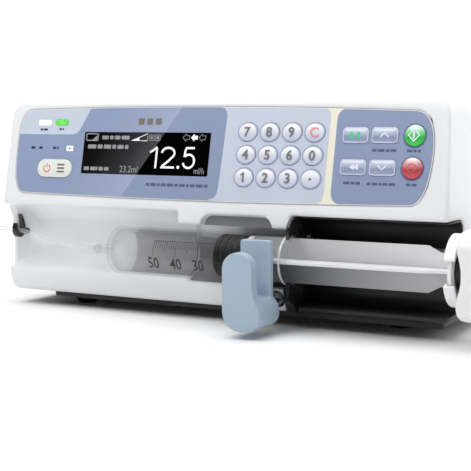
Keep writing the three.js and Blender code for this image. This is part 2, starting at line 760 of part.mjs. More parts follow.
function syringeBarrel() {
  const x0 = BARREL_LEFT;
  const wall = turnedX(
    [
      [FLANGE_X + FLANGE_T, BARREL_BORE_R],
      [FLANGE_X + FLANGE_T, BARREL_R + 1.6],
      [FLANGE_X, BARREL_R + 1.6],
      [FLANGE_X, BARREL_R],
      [x0 + 2.4, BARREL_R],
      [x0 + 0.5, BARREL_R - 1.2],
      [x0 - 4, 4.2],
      [x0 - 6, 3.2],
      [x0 - 16, 2.7],
      [x0 - 16, 1.1],
      [x0 - 3, 1.1],
      [x0 + 3, BARREL_BORE_R],
      [FLANGE_X + FLANGE_T, BARREL_BORE_R],
    ],
    0,
    AXIS_Z,
  );
  const ears = alongX(roundedRect(-10, 10, 5.6, 56.8, 8), FLANGE_X, FLANGE_X + FLANGE_T, 3);
  return join(wall, cut(ears, rodX(BARREL_BORE_R + 0.6, 50, 70, 0, AXIS_Z)));
}

function syringePlunger() {
  const ribR = 13.3;
  const from = SEAL_BACK_X + 0.1;
  const outline = [
    [from, AXIS_Z - 5],
    [from + 3, AXIS_Z - ribR],
    [144, AXIS_Z - ribR],
    [151, AXIS_Z - 9.6],
    [THUMB_X + 0.5, AXIS_Z - 9.6],
    [THUMB_X + 0.5, AXIS_Z + 9.6],
    [151, AXIS_Z + 9.6],
    [144, AXIS_Z + ribR],
    [from + 3, AXIS_Z + ribR],
    [from, AXIS_Z + 5],
  ];
  const upright = alongY(outline, -0.8, 0.8);
  const level = alongZ(outline.map(([x, z]) => [x, z - AXIS_Z]), AXIS_Z - 0.8, AXIS_Z + 0.8);
  const frontDisc = rodX(13.2, from + 3, from + 4.6, 0, AXIS_Z, 32);
  const thumb = rodX(THUMB_R, THUMB_X, THUMB_X + THUMB_T, 0, AXIS_Z + 0.6, 40);
  return join(upright, level, frontDisc, thumb);
}

function plungerSeal() {
  const r = 13.55;
  return turnedX(
    [
      [SEAL_BACK_X, 0],
      [SEAL_BACK_X, r],
      [SEAL_BACK_X - 2.4, r],
      [SEAL_BACK_X - 3.2, r - 0.9],
      [SEAL_BACK_X - 10.4, r - 0.9],
      [SEAL_BACK_X - 11.2, r],
      [SEAL_BACK_X - 16, r],
      [SEAL_TIP_X, 0],
    ],
    0,
    AXIS_Z,
  );
}

add('syringe_barrel', syringeBarrel(), clear);
add('syringe_plunger', syringePlunger(), plungerGrey);
add('plunger_seal', plungerSeal(), rubber);

// ---------------------------------------------------------------- syringe clamp

function clampHook() {
  const paddle = new THREE.Shape();
  paddle.moveTo(35.7, 5);
  paddle.quadraticCurveTo(36.5, -5.4, 50, -6);
  paddle.quadraticCurveTo(55, -5.6, 58.4, -1.4);
  paddle.quadraticCurveTo(61, 3.4, 59, 8);
  paddle.quadraticCurveTo(56.3, 13.5, 56.5, 20);
  paddle.lineTo(56.5, 30);
  paddle.absarc(46.1, 30, 10.4, 0, Math.PI);
  const lower = new THREE.Shape();
  lower.moveTo(35.7, 5);
  lower.quadraticCurveTo(36.5, -5.4, 50, -6);
  lower.quadraticCurveTo(55, -5.6, 58.4, -1.4);
  lower.quadraticCurveTo(61, 3.4, 58, 9.5);
  lower.lineTo(56, 12);
  lower.lineTo(35.7, 12);
  const front = alongY(paddle, CLAMP_FRONT_Y, CLAMP_FRONT_Y + 7, 6);
  const web = alongY(lower, CLAMP_FRONT_Y + 6, -15.8, 6);
  const arm = alongY(roundedRect(36, 55.5, 4, 45, 1.5), -20.5, -15.8, 1);
  return cut(join(front, web, arm), rodY(CLAMP_SHAFT_R + 0.05, -30, 0, CLAMP_X, CLAMP_Z));
}

add('clamp_hook', clampHook(), clampBlue);
const clampShaft = join(
  rodY(CLAMP_SHAFT_R, -29.8, 52, CLAMP_X, CLAMP_Z),
  rodY(CLAMP_SHAFT_R + 0.8, 51.9, 54, CLAMP_X, CLAMP_Z),
);
add('clamp_shaft', clampShaft, steel);

// ---------------------------------------------------------------- tube hook

// open-topped hook in the (Y, Z) plane, its back prong taller than its front one
function tubeHook() {
  const u = new THREE.Shape();
  u.moveTo(HOOK_Y - 3.4, HOOK_Z + 5.2);
  u.quadraticCurveTo(HOOK_Y - HOOK_OUTER_R, HOOK_Z + 3, HOOK_Y - HOOK_OUTER_R, HOOK_Z);
  u.absarc(HOOK_Y, HOOK_Z, HOOK_OUTER_R, Math.PI, 2 * Math.PI);
  u.quadraticCurveTo(HOOK_Y + HOOK_OUTER_R, HOOK_Z + 7, HOOK_Y + 1, HOOK_Z + 11);
  u.quadraticCurveTo(HOOK_Y + 2.6, HOOK_Z + 6, HOOK_Y + HOOK_INNER_R, HOOK_Z);
  u.absarc(HOOK_Y, HOOK_Z, HOOK_INNER_R, 0, -Math.PI, true);
  const prongs = alongX(u, HOOK_X - 1.8, HOOK_X + 1.8, 5);
  const stem = rodY(HOOK_STEM_R, HOOK_Y + 3.2, 15.2, HOOK_X, HOOK_STEM_Z, 14);
  return join(prongs, stem);
}

add('tube_hook', tubeHook(), black);

// ---------------------------------------------------------------- infusion line

// Soft tube from the syringe's nozzle through the hook, down to the surface that the
// pump stands on, and into a flat coil there with a connector at its end.
const LINE_D = 3;
const COIL_X = -236;
const COIL_Y = 6;
const COIL_R = 17;
const COIL_BAND = 10;
const COIL_HEIGHT = 11;
const FLOOR_Z = -FOOT_HEIGHT;

const lineRoute = [
  [-82, 0, 31.7],
  [-92, 0, 31.7],
  [-106, 0.6, 32.6],
  [-120, 1.8, 34.9],
  [-134, 3.2, 38],
  [-147, 4, 40],
  [-158, 4, 40.6],
  [-169, 3.8, 39.6],
  [-179, 3, 34],
  [-186, 3.4, 24],
  [-190, 3.6, 12],
  [-194, 3.4, 2],
  [-200, 1, -5.4],
  [-206, -5, -8.1],
  [-212, -9.6, -8.4],
  [-219.6, -11.2, -8.4],
];

function infusionLine() {
  const points = lineRoute.map(([x, y, z]) => new THREE.Vector3(x, y, z));
  const path = new THREE.CatmullRomCurve3(points, false, 'centripetal');
  const sides = [];
  for (let i = 0; i < 8; i += 1) {
    const a = (i * Math.PI) / 4;
    sides.push([(LINE_D / 2) * Math.cos(a), (LINE_D / 2) * Math.sin(a)]);
  }
  const options = { steps: 32, bevelEnabled: false, extrudePath: path };
  return solid(new THREE.ExtrudeGeometry(shapeOf(sides), options));
}

function lineCoil() {
  const inner = COIL_R - COIL_BAND / 2;
  const outer = COIL_R + COIL_BAND / 2;
  const low = FLOOR_Z + 0.05;
  const high = low + COIL_HEIGHT;
  const section = [
    [inner, low],
    [outer, low],
    [outer, high],
    [inner, high],
    [inner, low],
  ];
  const g = new THREE.LatheGeometry(section.map(([r, z]) => new THREE.Vector2(r, z)), 32);
  g.rotateX(Math.PI / 2);
  g.translate(COIL_X, COIL_Y, 0);
  return solid(g);
}

add('infusion_line', infusionLine(), clear);
add('line_coil', lineCoil(), clear);
add('line_connector', rodX(3.4, COIL_X - 8, COIL_X + 14, COIL_Y + 26, FLOOR_Z + 3.5, 12), clear);

// ---------------------------------------------------------------- origin

const LEFT_END = CASE_LEFT;
const RIGHT_END = LEVER_RIGHT;
const FRONT_END = CLAMP_FRONT_Y;
const BACK_END = CASE_BACK + 1;
pump.position.set(-(LEFT_END + RIGHT_END) / 2, -(FRONT_END + BACK_END) / 2, FOOT_HEIGHT);

export default pump;
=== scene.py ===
"""Looks of a syringe infusion pump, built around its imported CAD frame."""

import math

import bmesh
import bpy
from mathutils import Matrix, Vector


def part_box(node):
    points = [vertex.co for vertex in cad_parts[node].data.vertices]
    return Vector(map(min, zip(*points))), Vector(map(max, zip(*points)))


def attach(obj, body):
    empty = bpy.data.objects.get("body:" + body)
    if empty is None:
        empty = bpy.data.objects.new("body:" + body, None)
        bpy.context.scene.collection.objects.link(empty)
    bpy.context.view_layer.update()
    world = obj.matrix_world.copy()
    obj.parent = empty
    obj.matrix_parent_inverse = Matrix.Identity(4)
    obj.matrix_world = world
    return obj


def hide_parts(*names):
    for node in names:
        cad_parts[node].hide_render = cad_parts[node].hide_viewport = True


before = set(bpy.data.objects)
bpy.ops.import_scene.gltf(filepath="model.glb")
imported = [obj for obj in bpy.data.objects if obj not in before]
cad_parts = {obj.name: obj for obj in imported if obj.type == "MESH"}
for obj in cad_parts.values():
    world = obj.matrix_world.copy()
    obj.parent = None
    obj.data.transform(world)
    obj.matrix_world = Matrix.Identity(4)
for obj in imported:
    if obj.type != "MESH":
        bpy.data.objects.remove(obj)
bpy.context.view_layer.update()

# ---------------------------------------------------------------- frame of reference
# Shapes below are laid out in millimetres from the syringe's axis (y = 0) and the
# bottom edge of the case (z = 0), as the CAD is, and moved to the row frame at the end.

MM = 0.001
CASE_LEFT = -155.5
CASE_RIGHT = 155.0
CASE_TOP = 128.0
CASE_BACK = 116.0
SPLIT_Y = 66.0
FOOT_HEIGHT = 10.0
PANEL_TILT = math.radians(11.63)
PANEL_FOOT_Z = 62.0
OVERHANG_Z = 57.6
AXIS_Z = 31.7
POCKET_LEFT = 59.5
POCKET_BACK = 27.5
CLAMP_X, CLAMP_Z = 48.0, 7.5

ORIGIN = Vector((
    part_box("front_case")[0].x - CASE_LEFT * MM,
    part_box("rear_case")[1].y - CASE_BACK * MM,
    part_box("front_case")[0].z,
))
TO_ROW = Matrix.Translation(ORIGIN) @ Matrix.Scale(MM, 4)
SIN_T, COS_T = math.sin(PANEL_TILT), math.cos(PANEL_TILT)
# panel coordinates: x to the right, s up the slope, n out of the panel
PANEL = Matrix((
    (1, 0, 0, 0),
    (0, SIN_T, -COS_T, 0),
    (0, COS_T, SIN_T, PANEL_FOOT_Z),
    (0, 0, 0, 1),
))
ALONG_X = Matrix(((0, 0, 1, 0), (1, 0, 0, 0), (0, 1, 0, 0), (0, 0, 0, 1)))
ALONG_Y = Matrix(((1, 0, 0, 0), (0, 0, -1, 0), (0, 1, 0, 0), (0, 0, 0, 1)))
ALONG_Z = Matrix.Identity(4)


def row(x, y, z):
    """A point of the millimetre layout, in the row frame."""
    return TO_ROW @ Vector((x, y, z))


def srgb(r, g, b):
    """Linear colour of an 8-bit display colour."""
    def linear(v):
        v /= 255
        return v / 12.92 if v <= 0.04045 else ((v + 0.055) / 1.055) ** 2.4
    return (linear(r), linear(g), linear(b), 1.0)


# ---------------------------------------------------------------- camera

CAMERA_PLACE = (361.14, -620.95, 115.15)
CAMERA_AZIMUTH = math.radians(28.67)
CAMERA_PITCH = math.radians(5.339)
CAMERA_LENS = 90.07
CAMERA_SHIFT = (0.0005, -0.0153)


def make_camera():
    """The camera that matches the photograph."""
    data = bpy.data.cameras.new("camera")
    data.sensor_width = 36
    data.lens = CAMERA_LENS
    data.shift_x, data.shift_y = CAMERA_SHIFT
    data.clip_start = 0.01
    data.clip_end = 50
    cam = bpy.data.objects.new("camera", data)
    cam.location = row(*CAMERA_PLACE)
    cam.rotation_euler = (math.pi / 2 - CAMERA_PITCH, 0, CAMERA_AZIMUTH)
    bpy.context.scene.collection.objects.link(cam)
    bpy.context.scene.camera = cam


make_camera()

# ---------------------------------------------------------------- materials


class Nodes:
    """Short hand for a material's node tree."""

    def __init__(self, name):
        self.material = bpy.data.materials.new(name)
        self.material.use_nodes = True
        self.tree = self.material.node_tree
        self.shader = self.tree.nodes["Principled BSDF"]

    def new(self, kind, **sockets):
        node = self.tree.nodes.new(kind)
        for name, value in sockets.items():
            node.inputs[name.replace("_", " ")].default_value = value
        return node

    def link(self, a, b):
        self.tree.links.new(a, b)

    def set(self, name, value):
        self.shader.inputs[name].default_value = value

    def place(self):
        return self.new("ShaderNodeTexCoord").outputs["Object"]

    def noise(self, scale, detail=3.0):
        node = self.new("ShaderNodeTexNoise", Scale=scale, Detail=detail)
        self.link(self.place(), node.inputs["Vector"])
        return node.outputs["Fac"]

    def ramp(self, source, stops):
        node = self.new("ShaderNodeValToRGB")
        elements = node.color_ramp.elements
        while len(elements) < len(stops):
            elements.new(0.5)
        for element, (place, colour) in zip(elements, stops):
            element.position = place
            element.color = colour
        self.link(source, node.inputs["Fac"])
        return node.outputs["Color"]

    def colour(self, source):
        self.link(source, self.shader.inputs["Base Color"])

    def drifting(self, source, scale):
        """Colours the material by source, a little darker in soft spots."""
        mix = self.new("ShaderNodeMix")
        mix.data_type = "RGBA"
        mix.blend_type = "MULTIPLY"
        mix.inputs["Factor"].default_value = 1.0
        self.link(source, mix.inputs["A"])
        spots = self.ramp(self.noise(scale, 2), [(0.3, (0.97, 0.97, 0.97, 1)), (0.7, (1, 1, 1, 1))])
        self.link(spots, mix.inputs["B"])
        self.colour(mix.outputs["Result"])

    def mapped(self, source, start, end, low, high):
        """The source's range from start to end, spread over low to high."""
        node = self.new("ShaderNodeMapRange", From_Min=start, From_Max=end, To_Min=low, To_Max=high)
        self.link(source, node.inputs["Value"])
        return node.outputs["Result"]

    def roughness(self, low, high, scale):
        uneven = self.mapped(self.noise(scale), 0.3, 0.7, low, high)
        self.link(uneven, self.shader.inputs["Roughness"])

    def coat(self, weight, roughness):
        self.set("Coat Weight", weight)
        self.set("Coat Roughness", roughness)

    def bump(self, source, strength, distance):
        node = self.new("ShaderNodeBump", Strength=strength, Distance=distance)
        self.link(source, node.inputs["Height"])
        self.link(node.outputs["Normal"], self.shader.inputs["Normal"])

    def gradient(self, start, end):
        """0 at the point start and 1 at the point end, both in the row frame."""
        along = end - start
        dot = self.new("ShaderNodeVectorMath")
        dot.operation = "DOT_PRODUCT"
        shift = self.new("ShaderNodeVectorMath")
        shift.operation = "SUBTRACT"
        shift.inputs[1].default_value = start
        self.link(self.place(), shift.inputs[0])
        self.link(shift.outputs["Vector"], dot.inputs[0])
        dot.inputs[1].default_value = along / along.length_squared
        return dot.outputs["Value"]


def shade(colour, factor):
    """A colour made darker or lighter."""
    return (*(min(1.0, c * factor) for c in colour[:3]), 1.0)


GRAIN_SCALE = 1500


def moulded(name, colour, low=0.3, high=0.42, grain=0.06):
    """Moulded plastic: slight colour drift, uneven gloss and a fine spark-eroded grain."""
    n = Nodes(name)
    n.colour(n.ramp(n.noise(14, 2), [(0.35, shade(colour, 0.972)), (0.65, shade(colour, 1.012))]))
    n.roughness(low, high, 60)
    n.bump(n.noise(GRAIN_SCALE, 2), grain, 0.00005)
    n.set("Specular IOR Level", 0.5)
    return n.material


def printed(name, colour, roughness=0.34, coat=0.25):
    """Screen-printed polyester film with a fine texture under a thin clear coat."""
    n = Nodes(name)
    n.colour(n.ramp(n.noise(30, 2), [(0.3, shade(colour, 0.985)), (0.7, shade(colour, 1.015))]))
    n.roughness(roughness - 0.04, roughness + 0.06, 90)
    n.bump(n.noise(2600, 1), 0.05, 0.00003)
    n.set("Specular IOR Level", 0.5 if coat else 0.1)
    n.coat(coat, 0.12)
    return n.material


def metal(name, colour, low, high, brushed=None):
    """Metal, with fine lines along it where it is brushed."""
    n = Nodes(name)
    n.set("Metallic", 1.0)
    n.colour(n.ramp(n.noise(40), [(0.3, shade(colour, 0.9)), (0.7, shade(colour, 1.05))]))
    n.roughness(low, high, 120)
    if brushed is not None:
        mapping = n.new("ShaderNodeMapping")
        mapping.inputs["Scale"].default_value = brushed
        n.link(n.place(), mapping.inputs["Vector"])
        lines = n.new("ShaderNodeTexNoise", Scale=1.0, Detail=2.0)
        n.link(mapping.outputs["Vector"], lines.inputs["Vector"])
        n.bump(lines.outputs["Fac"], 0.15, 0.00004)
    return n.material


def elastomer(name, colour):
    """Matte rubber, mottled and finely grained."""
    n = Nodes(name)
    n.colour(n.ramp(n.noise(120), [(0.3, shade(colour, 0.8)), (0.7, shade(colour, 1.25))]))
    n.roughness(0.42, 0.6, 200)
    n.bump(n.noise(900), 0.2, 0.00008)
    n.set("Specular IOR Level", 0.15)
    return n.material


def clear_plastic(name, tint, face_alpha, edge_alpha, roughness=0.06):
    """Thin clear moulding: almost open when faced, denser where it turns away."""
    n = Nodes(name)
    facing = n.new("ShaderNodeLayerWeight", Blend=0.22).outputs["Facing"]
    n.link(n.mapped(facing, 0, 1, face_alpha, edge_alpha), n.shader.inputs["Alpha"])
    n.colour(n.ramp(n.noise(50), [(0.3, shade(tint, 0.97)), (0.7, shade(tint, 1.02))]))
    n.roughness(roughness, roughness + 0.05, 80)
    n.set("Specular IOR Level", 0.5)
    n.coat(0.1, 0.04)
    return n.material


def glowing(name, colour, strength, rim):
    """A lit lamp or display segment, brighter in its middle print than at its edge."""
    n = Nodes(name)
    n.colour(n.ramp(n.noise(300), [(0.3, rim), (0.7, colour)]))
    n.set("Roughness", 0.3)
    n.link(
        n.ramp(n.noise(500), [(0.2, shade(colour, 0.92)), (0.8, colour)]),
        n.shader.inputs["Emission Color"],
    )
    n.set("Emission Strength", strength)
    return n.material


BLUE = srgb(143, 157, 188)

case_white = moulded("case_white", srgb(238, 239, 241))
pusher_white = moulded("pusher_white", srgb(243, 243, 244), 0.26, 0.36)
recess_black = moulded("recess_black", srgb(24, 24, 25), 0.38, 0.5, 0.12)
hook_black = moulded("hook_black", srgb(26, 25, 24), 0.18, 0.28, 0.05)
clamp_blue = moulded("clamp_blue", srgb(168, 187, 204), 0.34, 0.46)
groove_grey = moulded("groove_grey", srgb(142, 138, 132), 0.5, 0.6)
# Grey of the finger notch's back: painted shade of the white recess.
notch_shade_grey = moulded("notch_shade_grey", srgb(128, 129, 131), 0.35, 0.5)
film_white = printed("film_white", srgb(240, 240, 242))
film_blue = printed("film_blue", BLUE)
film_light = printed("film_light", srgb(203, 211, 226))
film_cream = printed("film_cream", srgb(243, 239, 220))
ink_navy = printed("ink_navy", srgb(52, 58, 82), 0.5, 0.0)
ink_soft = printed("ink_soft", srgb(92, 100, 132), 0.5, 0.0)
ink_grey = printed("ink_grey", srgb(126, 120, 112), 0.5, 0.0)
ink_red = printed("ink_red", srgb(214, 92, 84), 0.5, 0.0)
ink_rose = printed("ink_rose", srgb(200, 104, 112), 0.4, 0.0)
ink_green = printed("ink_green", srgb(94, 208, 148), 0.4, 0.0)
ink_white = printed("ink_white", srgb(236, 240, 250), 0.4, 0.0)
ink_scale = printed("ink_scale", srgb(62, 62, 64), 0.5, 0.0)
board_green = moulded("board_green", srgb(28, 92, 60), 0.3, 0.45)
foot_rubber = elastomer("foot_rubber", srgb(26, 26, 27))
seal_rubber = elastomer("seal_rubber", srgb(26, 25, 24))
polished_steel = metal("polished_steel", srgb(200, 202, 206), 0.16, 0.28, (4, 900, 900))
machined_alloy = metal("machined_alloy", srgb(188, 190, 194), 0.3, 0.45, (300, 20, 300))
gear_brass = metal("gear_brass", srgb(204, 172, 96), 0.25, 0.4)
motor_black = moulded("motor_black", srgb(38, 39, 42), 0.35, 0.5)
barrel_clear = clear_plastic("barrel_clear", srgb(112, 114, 117), 0.015, 0.27)
ear_clear = clear_plastic("ear_clear", srgb(34, 34, 36), 0.78, 0.9)
line_clear = clear_plastic("line_clear", srgb(228, 231, 234), 0.16, 0.6, 0.1)
hub_clear = clear_plastic("hub_clear", srgb(236, 239, 242), 0.08, 0.7, 0.06)
# Near-white, almost opaque bead: a painted highlight on the clear bead by the flange.
bead_painted_highlight = clear_plastic("bead_painted_highlight", srgb(244, 245, 246), 0.5, 0.95)
lamp_white = glowing("lamp_white", srgb(250, 251, 255), 0.35, srgb(226, 230, 240))
lamp_green = glowing("lamp_green", srgb(110, 226, 92), 0.25, srgb(96, 196, 84))
screen_lit = glowing("screen_lit", srgb(232, 233, 234), 0.55, srgb(190, 192, 194))
screen_dim = glowing("screen_dim", srgb(150, 151, 153), 0.25, srgb(120, 122, 124))


def plunger_plastic(name, left, right):
    """Milky polypropylene with painted shade: a deeper grey inside the barrel that lightens outside it."""
    n = Nodes(name)
    run = n.gradient(row(36, 0, 0), row(150, 0, 0))
    n.colour(n.ramp(run, [(0.0, srgb(left, left, left + 1)), (1.0, srgb(right, right, right + 2))]))
    n.roughness(0.3, 0.33, 40)
    return n.material


plunger_milky = plunger_plastic("plunger_milky", 232, 238)
# The upper and lower webs are shaded copies: painted shade, deepest on the lower web under the cross rib.
plunger_upper_painted_shade = plunger_plastic("plunger_upper_painted_shade", 168, 228)
plunger_lower_painted_shade = plunger_plastic("plunger_lower_painted_shade", 60, 190)

# ---------------------------------------------------------------- mesh helpers


FLAT_DEGREES = 0.4
BEVEL_DEGREES = 35
CAPITAL_HEIGHT = 0.73  # of the font, as a part of its size


def put(data):
    """A bare object in the scene that holds a mesh or a curve."""
    obj = bpy.data.objects.new(data.name, data)
    bpy.context.scene.collection.objects.link(obj)
    return obj


def evaluated(obj):
    """The mesh of an object with its modifiers applied; the object is removed."""
    graph = bpy.context.evaluated_depsgraph_get()
    mesh = bpy.data.meshes.new_from_object(obj.evaluated_get(graph))
    bpy.data.objects.remove(obj)
    return mesh


def closed_mesh(bm, name):
    """The mesh of a closed surface, with its faces turned outward."""
    bmesh.ops.recalc_face_normals(bm, faces=bm.faces)
    mesh = bpy.data.meshes.new(name)
    bm.to_mesh(mesh)
    bm.free()
    return mesh


def prism(points, low, high, matrix=ALONG_Z):
    """An outline swept along its normal, from low to high."""
    bm = bmesh.new()
    verts = [bm.verts.new((a, b, low)) for a, b in points]
    face = bm.faces.new(verts)
    swept = bmesh.ops.extrude_face_region(bm, geom=[face])
    moved = [g for g in swept["geom"] if isinstance(g, bmesh.types.BMVert)]
    bmesh.ops.translate(bm, verts=moved, vec=(0, 0, high - low))
    bmesh.ops.transform(bm, matrix=matrix, verts=bm.verts)
    return closed_mesh(bm, "prism")


def along_x(points, x0, x1):
    return prism(points, x0, x1, ALONG_X)


def along_y(points, y0, y1):
    return prism(points, -y1, -y0, ALONG_Y)


def along_z(points, z0, z1):
    return prism(points, z0, z1)


def on_panel(points, n0, n1):
    return prism(points, n0, n1, PANEL)


def box_mesh(x0, x1, y0, y1, z0, z1):
    return along_z([(x0, y0), (x1, y0), (x1, y1), (x0, y1)], z0, z1)


def circle(cx, cy, rx, ry, steps, start=0.0, end=360.0):
    """Points of an ellipse, or of its part between two angles in degrees."""
    closed = abs(end - start) >= 360
    count = steps if closed else steps + 1
    points = []
    for i in range(count):
        a = math.radians(start + (end - start) * i / steps)
        points.append((cx + rx * math.cos(a), cy + ry * math.sin(a)))
    return points


def rounded(x0, x1, y0, y1, r, steps=6):
    """Points of a rectangle with round corners."""
    points = []
    corners = ((x1 - r, y1 - r, 0), (x0 + r, y1 - r, 90), (x0 + r, y0 + r, 180), (x1 - r, y0 + r, 270))
    for cx, cy, start in corners:
        points += circle(cx, cy, r, r, steps, start, start + 90)
    return points


def ring_part(z, outer, inner, steps, start, end):
    """Section between two radii and two angles about the height z, in (y, z)."""
    return circle(0, z, outer, outer, steps, start, end) + circle(0, z, inner, inner, steps, end, start)


def bezier(p0, p1, p2, p3, steps):
    """Points of a cubic curve, without its first one."""
    points = []
    for i in range(1, steps + 1):
        t = i / steps
        u = 1 - t
        k = (u * u * u, 3 * u * u * t, 3 * u * t * t, t * t * t)
        ends = (p0, p1, p2, p3)
        points.append(tuple(sum(w * p[axis] for w, p in zip(k, ends)) for axis in (0, 1)))
    return points


def quadratic(p0, p1, p2, steps=10):
    """Points of a curve with one control point, without its first one."""
    a = tuple(p0[i] + (p1[i] - p0[i]) * 2 / 3 for i in (0, 1))
    b = tuple(p2[i] + (p1[i] - p2[i]) * 2 / 3 for i in (0, 1))
    return bezier(p0, a, b, p2, steps)


def cylinder_x(r, x0, x1, y, z, steps=48):
    return along_x(circle(y, z, r, r, steps), x0, x1)


def cylinder_y(r, y0, y1, x, z, steps=48):
    return along_y(circle(x, z, r, r, steps), y0, y1)


def turned(profile, matrix, steps):
    """A closed or axis-to-axis profile of (height, radius) pairs, turned about its axis."""
    bm = bmesh.new()
    rings = []
    for h, r in profile:
        if r < 1e-6:
            rings.append([bm.verts.new((0, 0, h))])
            continue
        ring = []
        for i in range(steps):
            a = 2 * math.pi * i / steps
            ring.append(bm.verts.new((r * math.cos(a), r * math.sin(a), h)))
        rings.append(ring)
    pairs = list(zip(rings, rings[1:]))
    if len(rings[0]) > 1:
        pairs.append((rings[-1], rings[0]))
    for a, b in pairs:
        for i in range(steps):
            j = (i + 1) % steps
            if len(a) == 1:
                bm.faces.new((a[0], b[i], b[j]))
            elif len(b) == 1:
                bm.faces.new((a[j], a[i], b[0]))
            else:
                bm.faces.new((a[i], b[i], b[j], a[j]))
    bmesh.ops.transform(bm, matrix=matrix, verts=bm.verts)
    return closed_mesh(bm, "turned")


def turned_x(profile, y, z, steps):
    return turned(profile, Matrix.Translation((0, y, z)) @ ALONG_X, steps)


def combined(base, tools, operation):
    """A mesh with one boolean operation for each tool."""
    obj = put(base)
    helpers = [put(t) for t in tools]
    for helper in helpers:
        modifier = obj.modifiers.new("boolean", "BOOLEAN")
        modifier.operation = operation
        modifier.solver = "EXACT"
        modifier.object = helper
    mesh = evaluated(obj)
    for helper in helpers:
        bpy.data.objects.remove(helper)
    return mesh


def join(base, *tools):
    return combined(base, tools, "UNION")


def cut(base, *tools):
    return combined(base, tools, "DIFFERENCE")


def common(base, *tools):
    return combined(base, tools, "INTERSECT")


def softened(mesh, voxel, passes=4):
    """Rounds every edge as a mould does: remesh, relax, then merge what stayed flat."""
    obj = put(mesh)
    remesh = obj.modifiers.new("remesh", "REMESH")
    remesh.mode = "VOXEL"
    remesh.voxel_size = voxel
    relax = obj.modifiers.new("relax", "SMOOTH")
    relax.factor = 0.5
    relax.iterations = passes
    flatten = obj.modifiers.new("flatten", "DECIMATE")
    flatten.decimate_type = "DISSOLVE"
    flatten.angle_limit = math.radians(FLAT_DEGREES)
    return evaluated(obj)


def bevelled(mesh, width, segments):
    """A mesh with its sharp edges broken."""
    obj = put(mesh)
    modifier = obj.modifiers.new("bevel", "BEVEL")
    modifier.width = width
    modifier.segments = segments
    modifier.limit_method = "ANGLE"
    modifier.angle_limit = math.radians(BEVEL_DEGREES)
    return evaluated(obj)


def piece(name, mesh, material, body="root", *, stands_for=(), smooth=40):
    """Moves a millimetre mesh to the row frame, and sets its look and the body it rides on."""
    mesh.name = name
    mesh.transform(TO_ROW)
    mesh.materials.clear()
    mesh.materials.append(material)
    mesh.shade_smooth()
    mesh.set_sharp_from_angle(angle=math.radians(smooth))
    obj = put(mesh)
    obj.name = name
    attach(obj, body)
    if stands_for:
        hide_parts(*stands_for)
    return obj


def look(node, material):
    """Gives a carried-over CAD node its finish."""
    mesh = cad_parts[node].data
    mesh.materials.clear()
    mesh.materials.append(material)
    mesh.shade_smooth()
    mesh.set_sharp_from_angle(angle=math.radians(30))


def text_mesh(text, size, bold, thickness):
    """A text as a solid, with each stroke's edge moved out by bold."""
    curve = bpy.data.curves.new("text", "FONT")
    curve.body = text
    curve.size = size
    curve.offset = bold
    curve.extrude = thickness / 2
    curve.resolution_u = 3
    return evaluated(put(curve))


def lettering(text, height, x, s, n, material, name, body="root", bold=0.0, align="CENTER", squeeze=1.0,
              thickness=0.05, dome=None):
    """Raised print on the panel, its middle or right end at x and its middle height at s."""
    mesh = text_mesh(text, height / CAPITAL_HEIGHT, bold, thickness)
    xs = [v.co.x for v in mesh.vertices]
    ys = [v.co.y for v in mesh.vertices]
    anchor = max(xs) if align == "RIGHT" else (min(xs) + max(xs)) / 2
    level = (min(ys) + max(ys)) / 2
    for v in mesh.vertices:
        px = (v.co.x - anchor) * squeeze
        py = v.co.y - level
        lift = dome(px, py) if dome else 0.0
        v.co = (x + px, s + py, n + lift + v.co.z + thickness / 2)
    mesh.transform(PANEL)
    return piece(name, mesh, material, body)


def looped_cap(outline, levels):
    """A closed cap on the panel: the outline at each (inset, height), joined from first to last."""
    bm = bmesh.new()
    loops = []
    for inset, height in levels:
        loops.append([bm.verts.new((a, b, height)) for a, b in outline(inset)])
    for low, high in zip(loops, loops[1:]):
        count = len(low)
        for i in range(count):
            j = (i + 1) % count
            bm.faces.new((low[i], low[j], high[j], high[i]))
    bm.faces.new(list(reversed(loops[0])))
    top = loops[-1]
    middle = bm.verts.new((
        sum(v.co.x for v in top) / len(top),
        sum(v.co.y for v in top) / len(top),
        levels[-1][1] + 0.02,
    ))
    for i in range(len(top)):
        bm.faces.new((top[i], top[(i + 1) % len(top)], middle))
    mesh = closed_mesh(bm, "cap")
    mesh.transform(PANEL)
    return mesh


def merged(*meshes):
    """Several separate solids as one mesh."""
    bm = bmesh.new()
    for mesh in meshes:
        bm.from_mesh(mesh)
    out = bpy.data.meshes.new("merged")
    bm.to_mesh(out)
    bm.free()
    return out


def bridged(bm, rows, closed):
    """Joins neighbouring four-cornered sections, and shuts both ends unless they close up."""
    pairs = list(zip(rows, rows[1:]))
    if closed:
        pairs.append((rows[-1], rows[0]))
    for a, b in pairs:
        for k in range(4):
            bm.faces.new((a[k], a[(k + 1) % 4], b[(k + 1) % 4], b[k]))
    if not closed:
        bm.faces.new(rows[0])
        bm.faces.new(list(reversed(rows[-1])))


def stroke(points, width, n0, n1, closed=False):
    """A printed line of constant width along points on the panel."""
    count = len(points)
    left, right = [], []
    for i, (a, b) in enumerate(points):
        before = points[i - 1] if closed or i else points[0]
        after = points[(i + 1) % count] if closed or i < count - 1 else points[-1]
        dx, dy = after[0] - before[0], after[1] - before[1]
        size = math.hypot(dx, dy) or 1.0
        nx, ny = -dy / size * width / 2, dx / size * width / 2
        left.append((a + nx, b + ny))
        right.append((a - nx, b - ny))
    bm = bmesh.new()
    rows = []
    for (lx, ly), (rx, ry) in zip(left, right):
        rows.append([bm.verts.new(co) for co in ((lx, ly, n0), (lx, ly, n1), (rx, ry, n1), (rx, ry, n0))])
    bridged(bm, rows, closed)
    mesh = closed_mesh(bm, "stroke")
    mesh.transform(PANEL)
    return mesh


# ---------------------------------------------------------------- infusion line

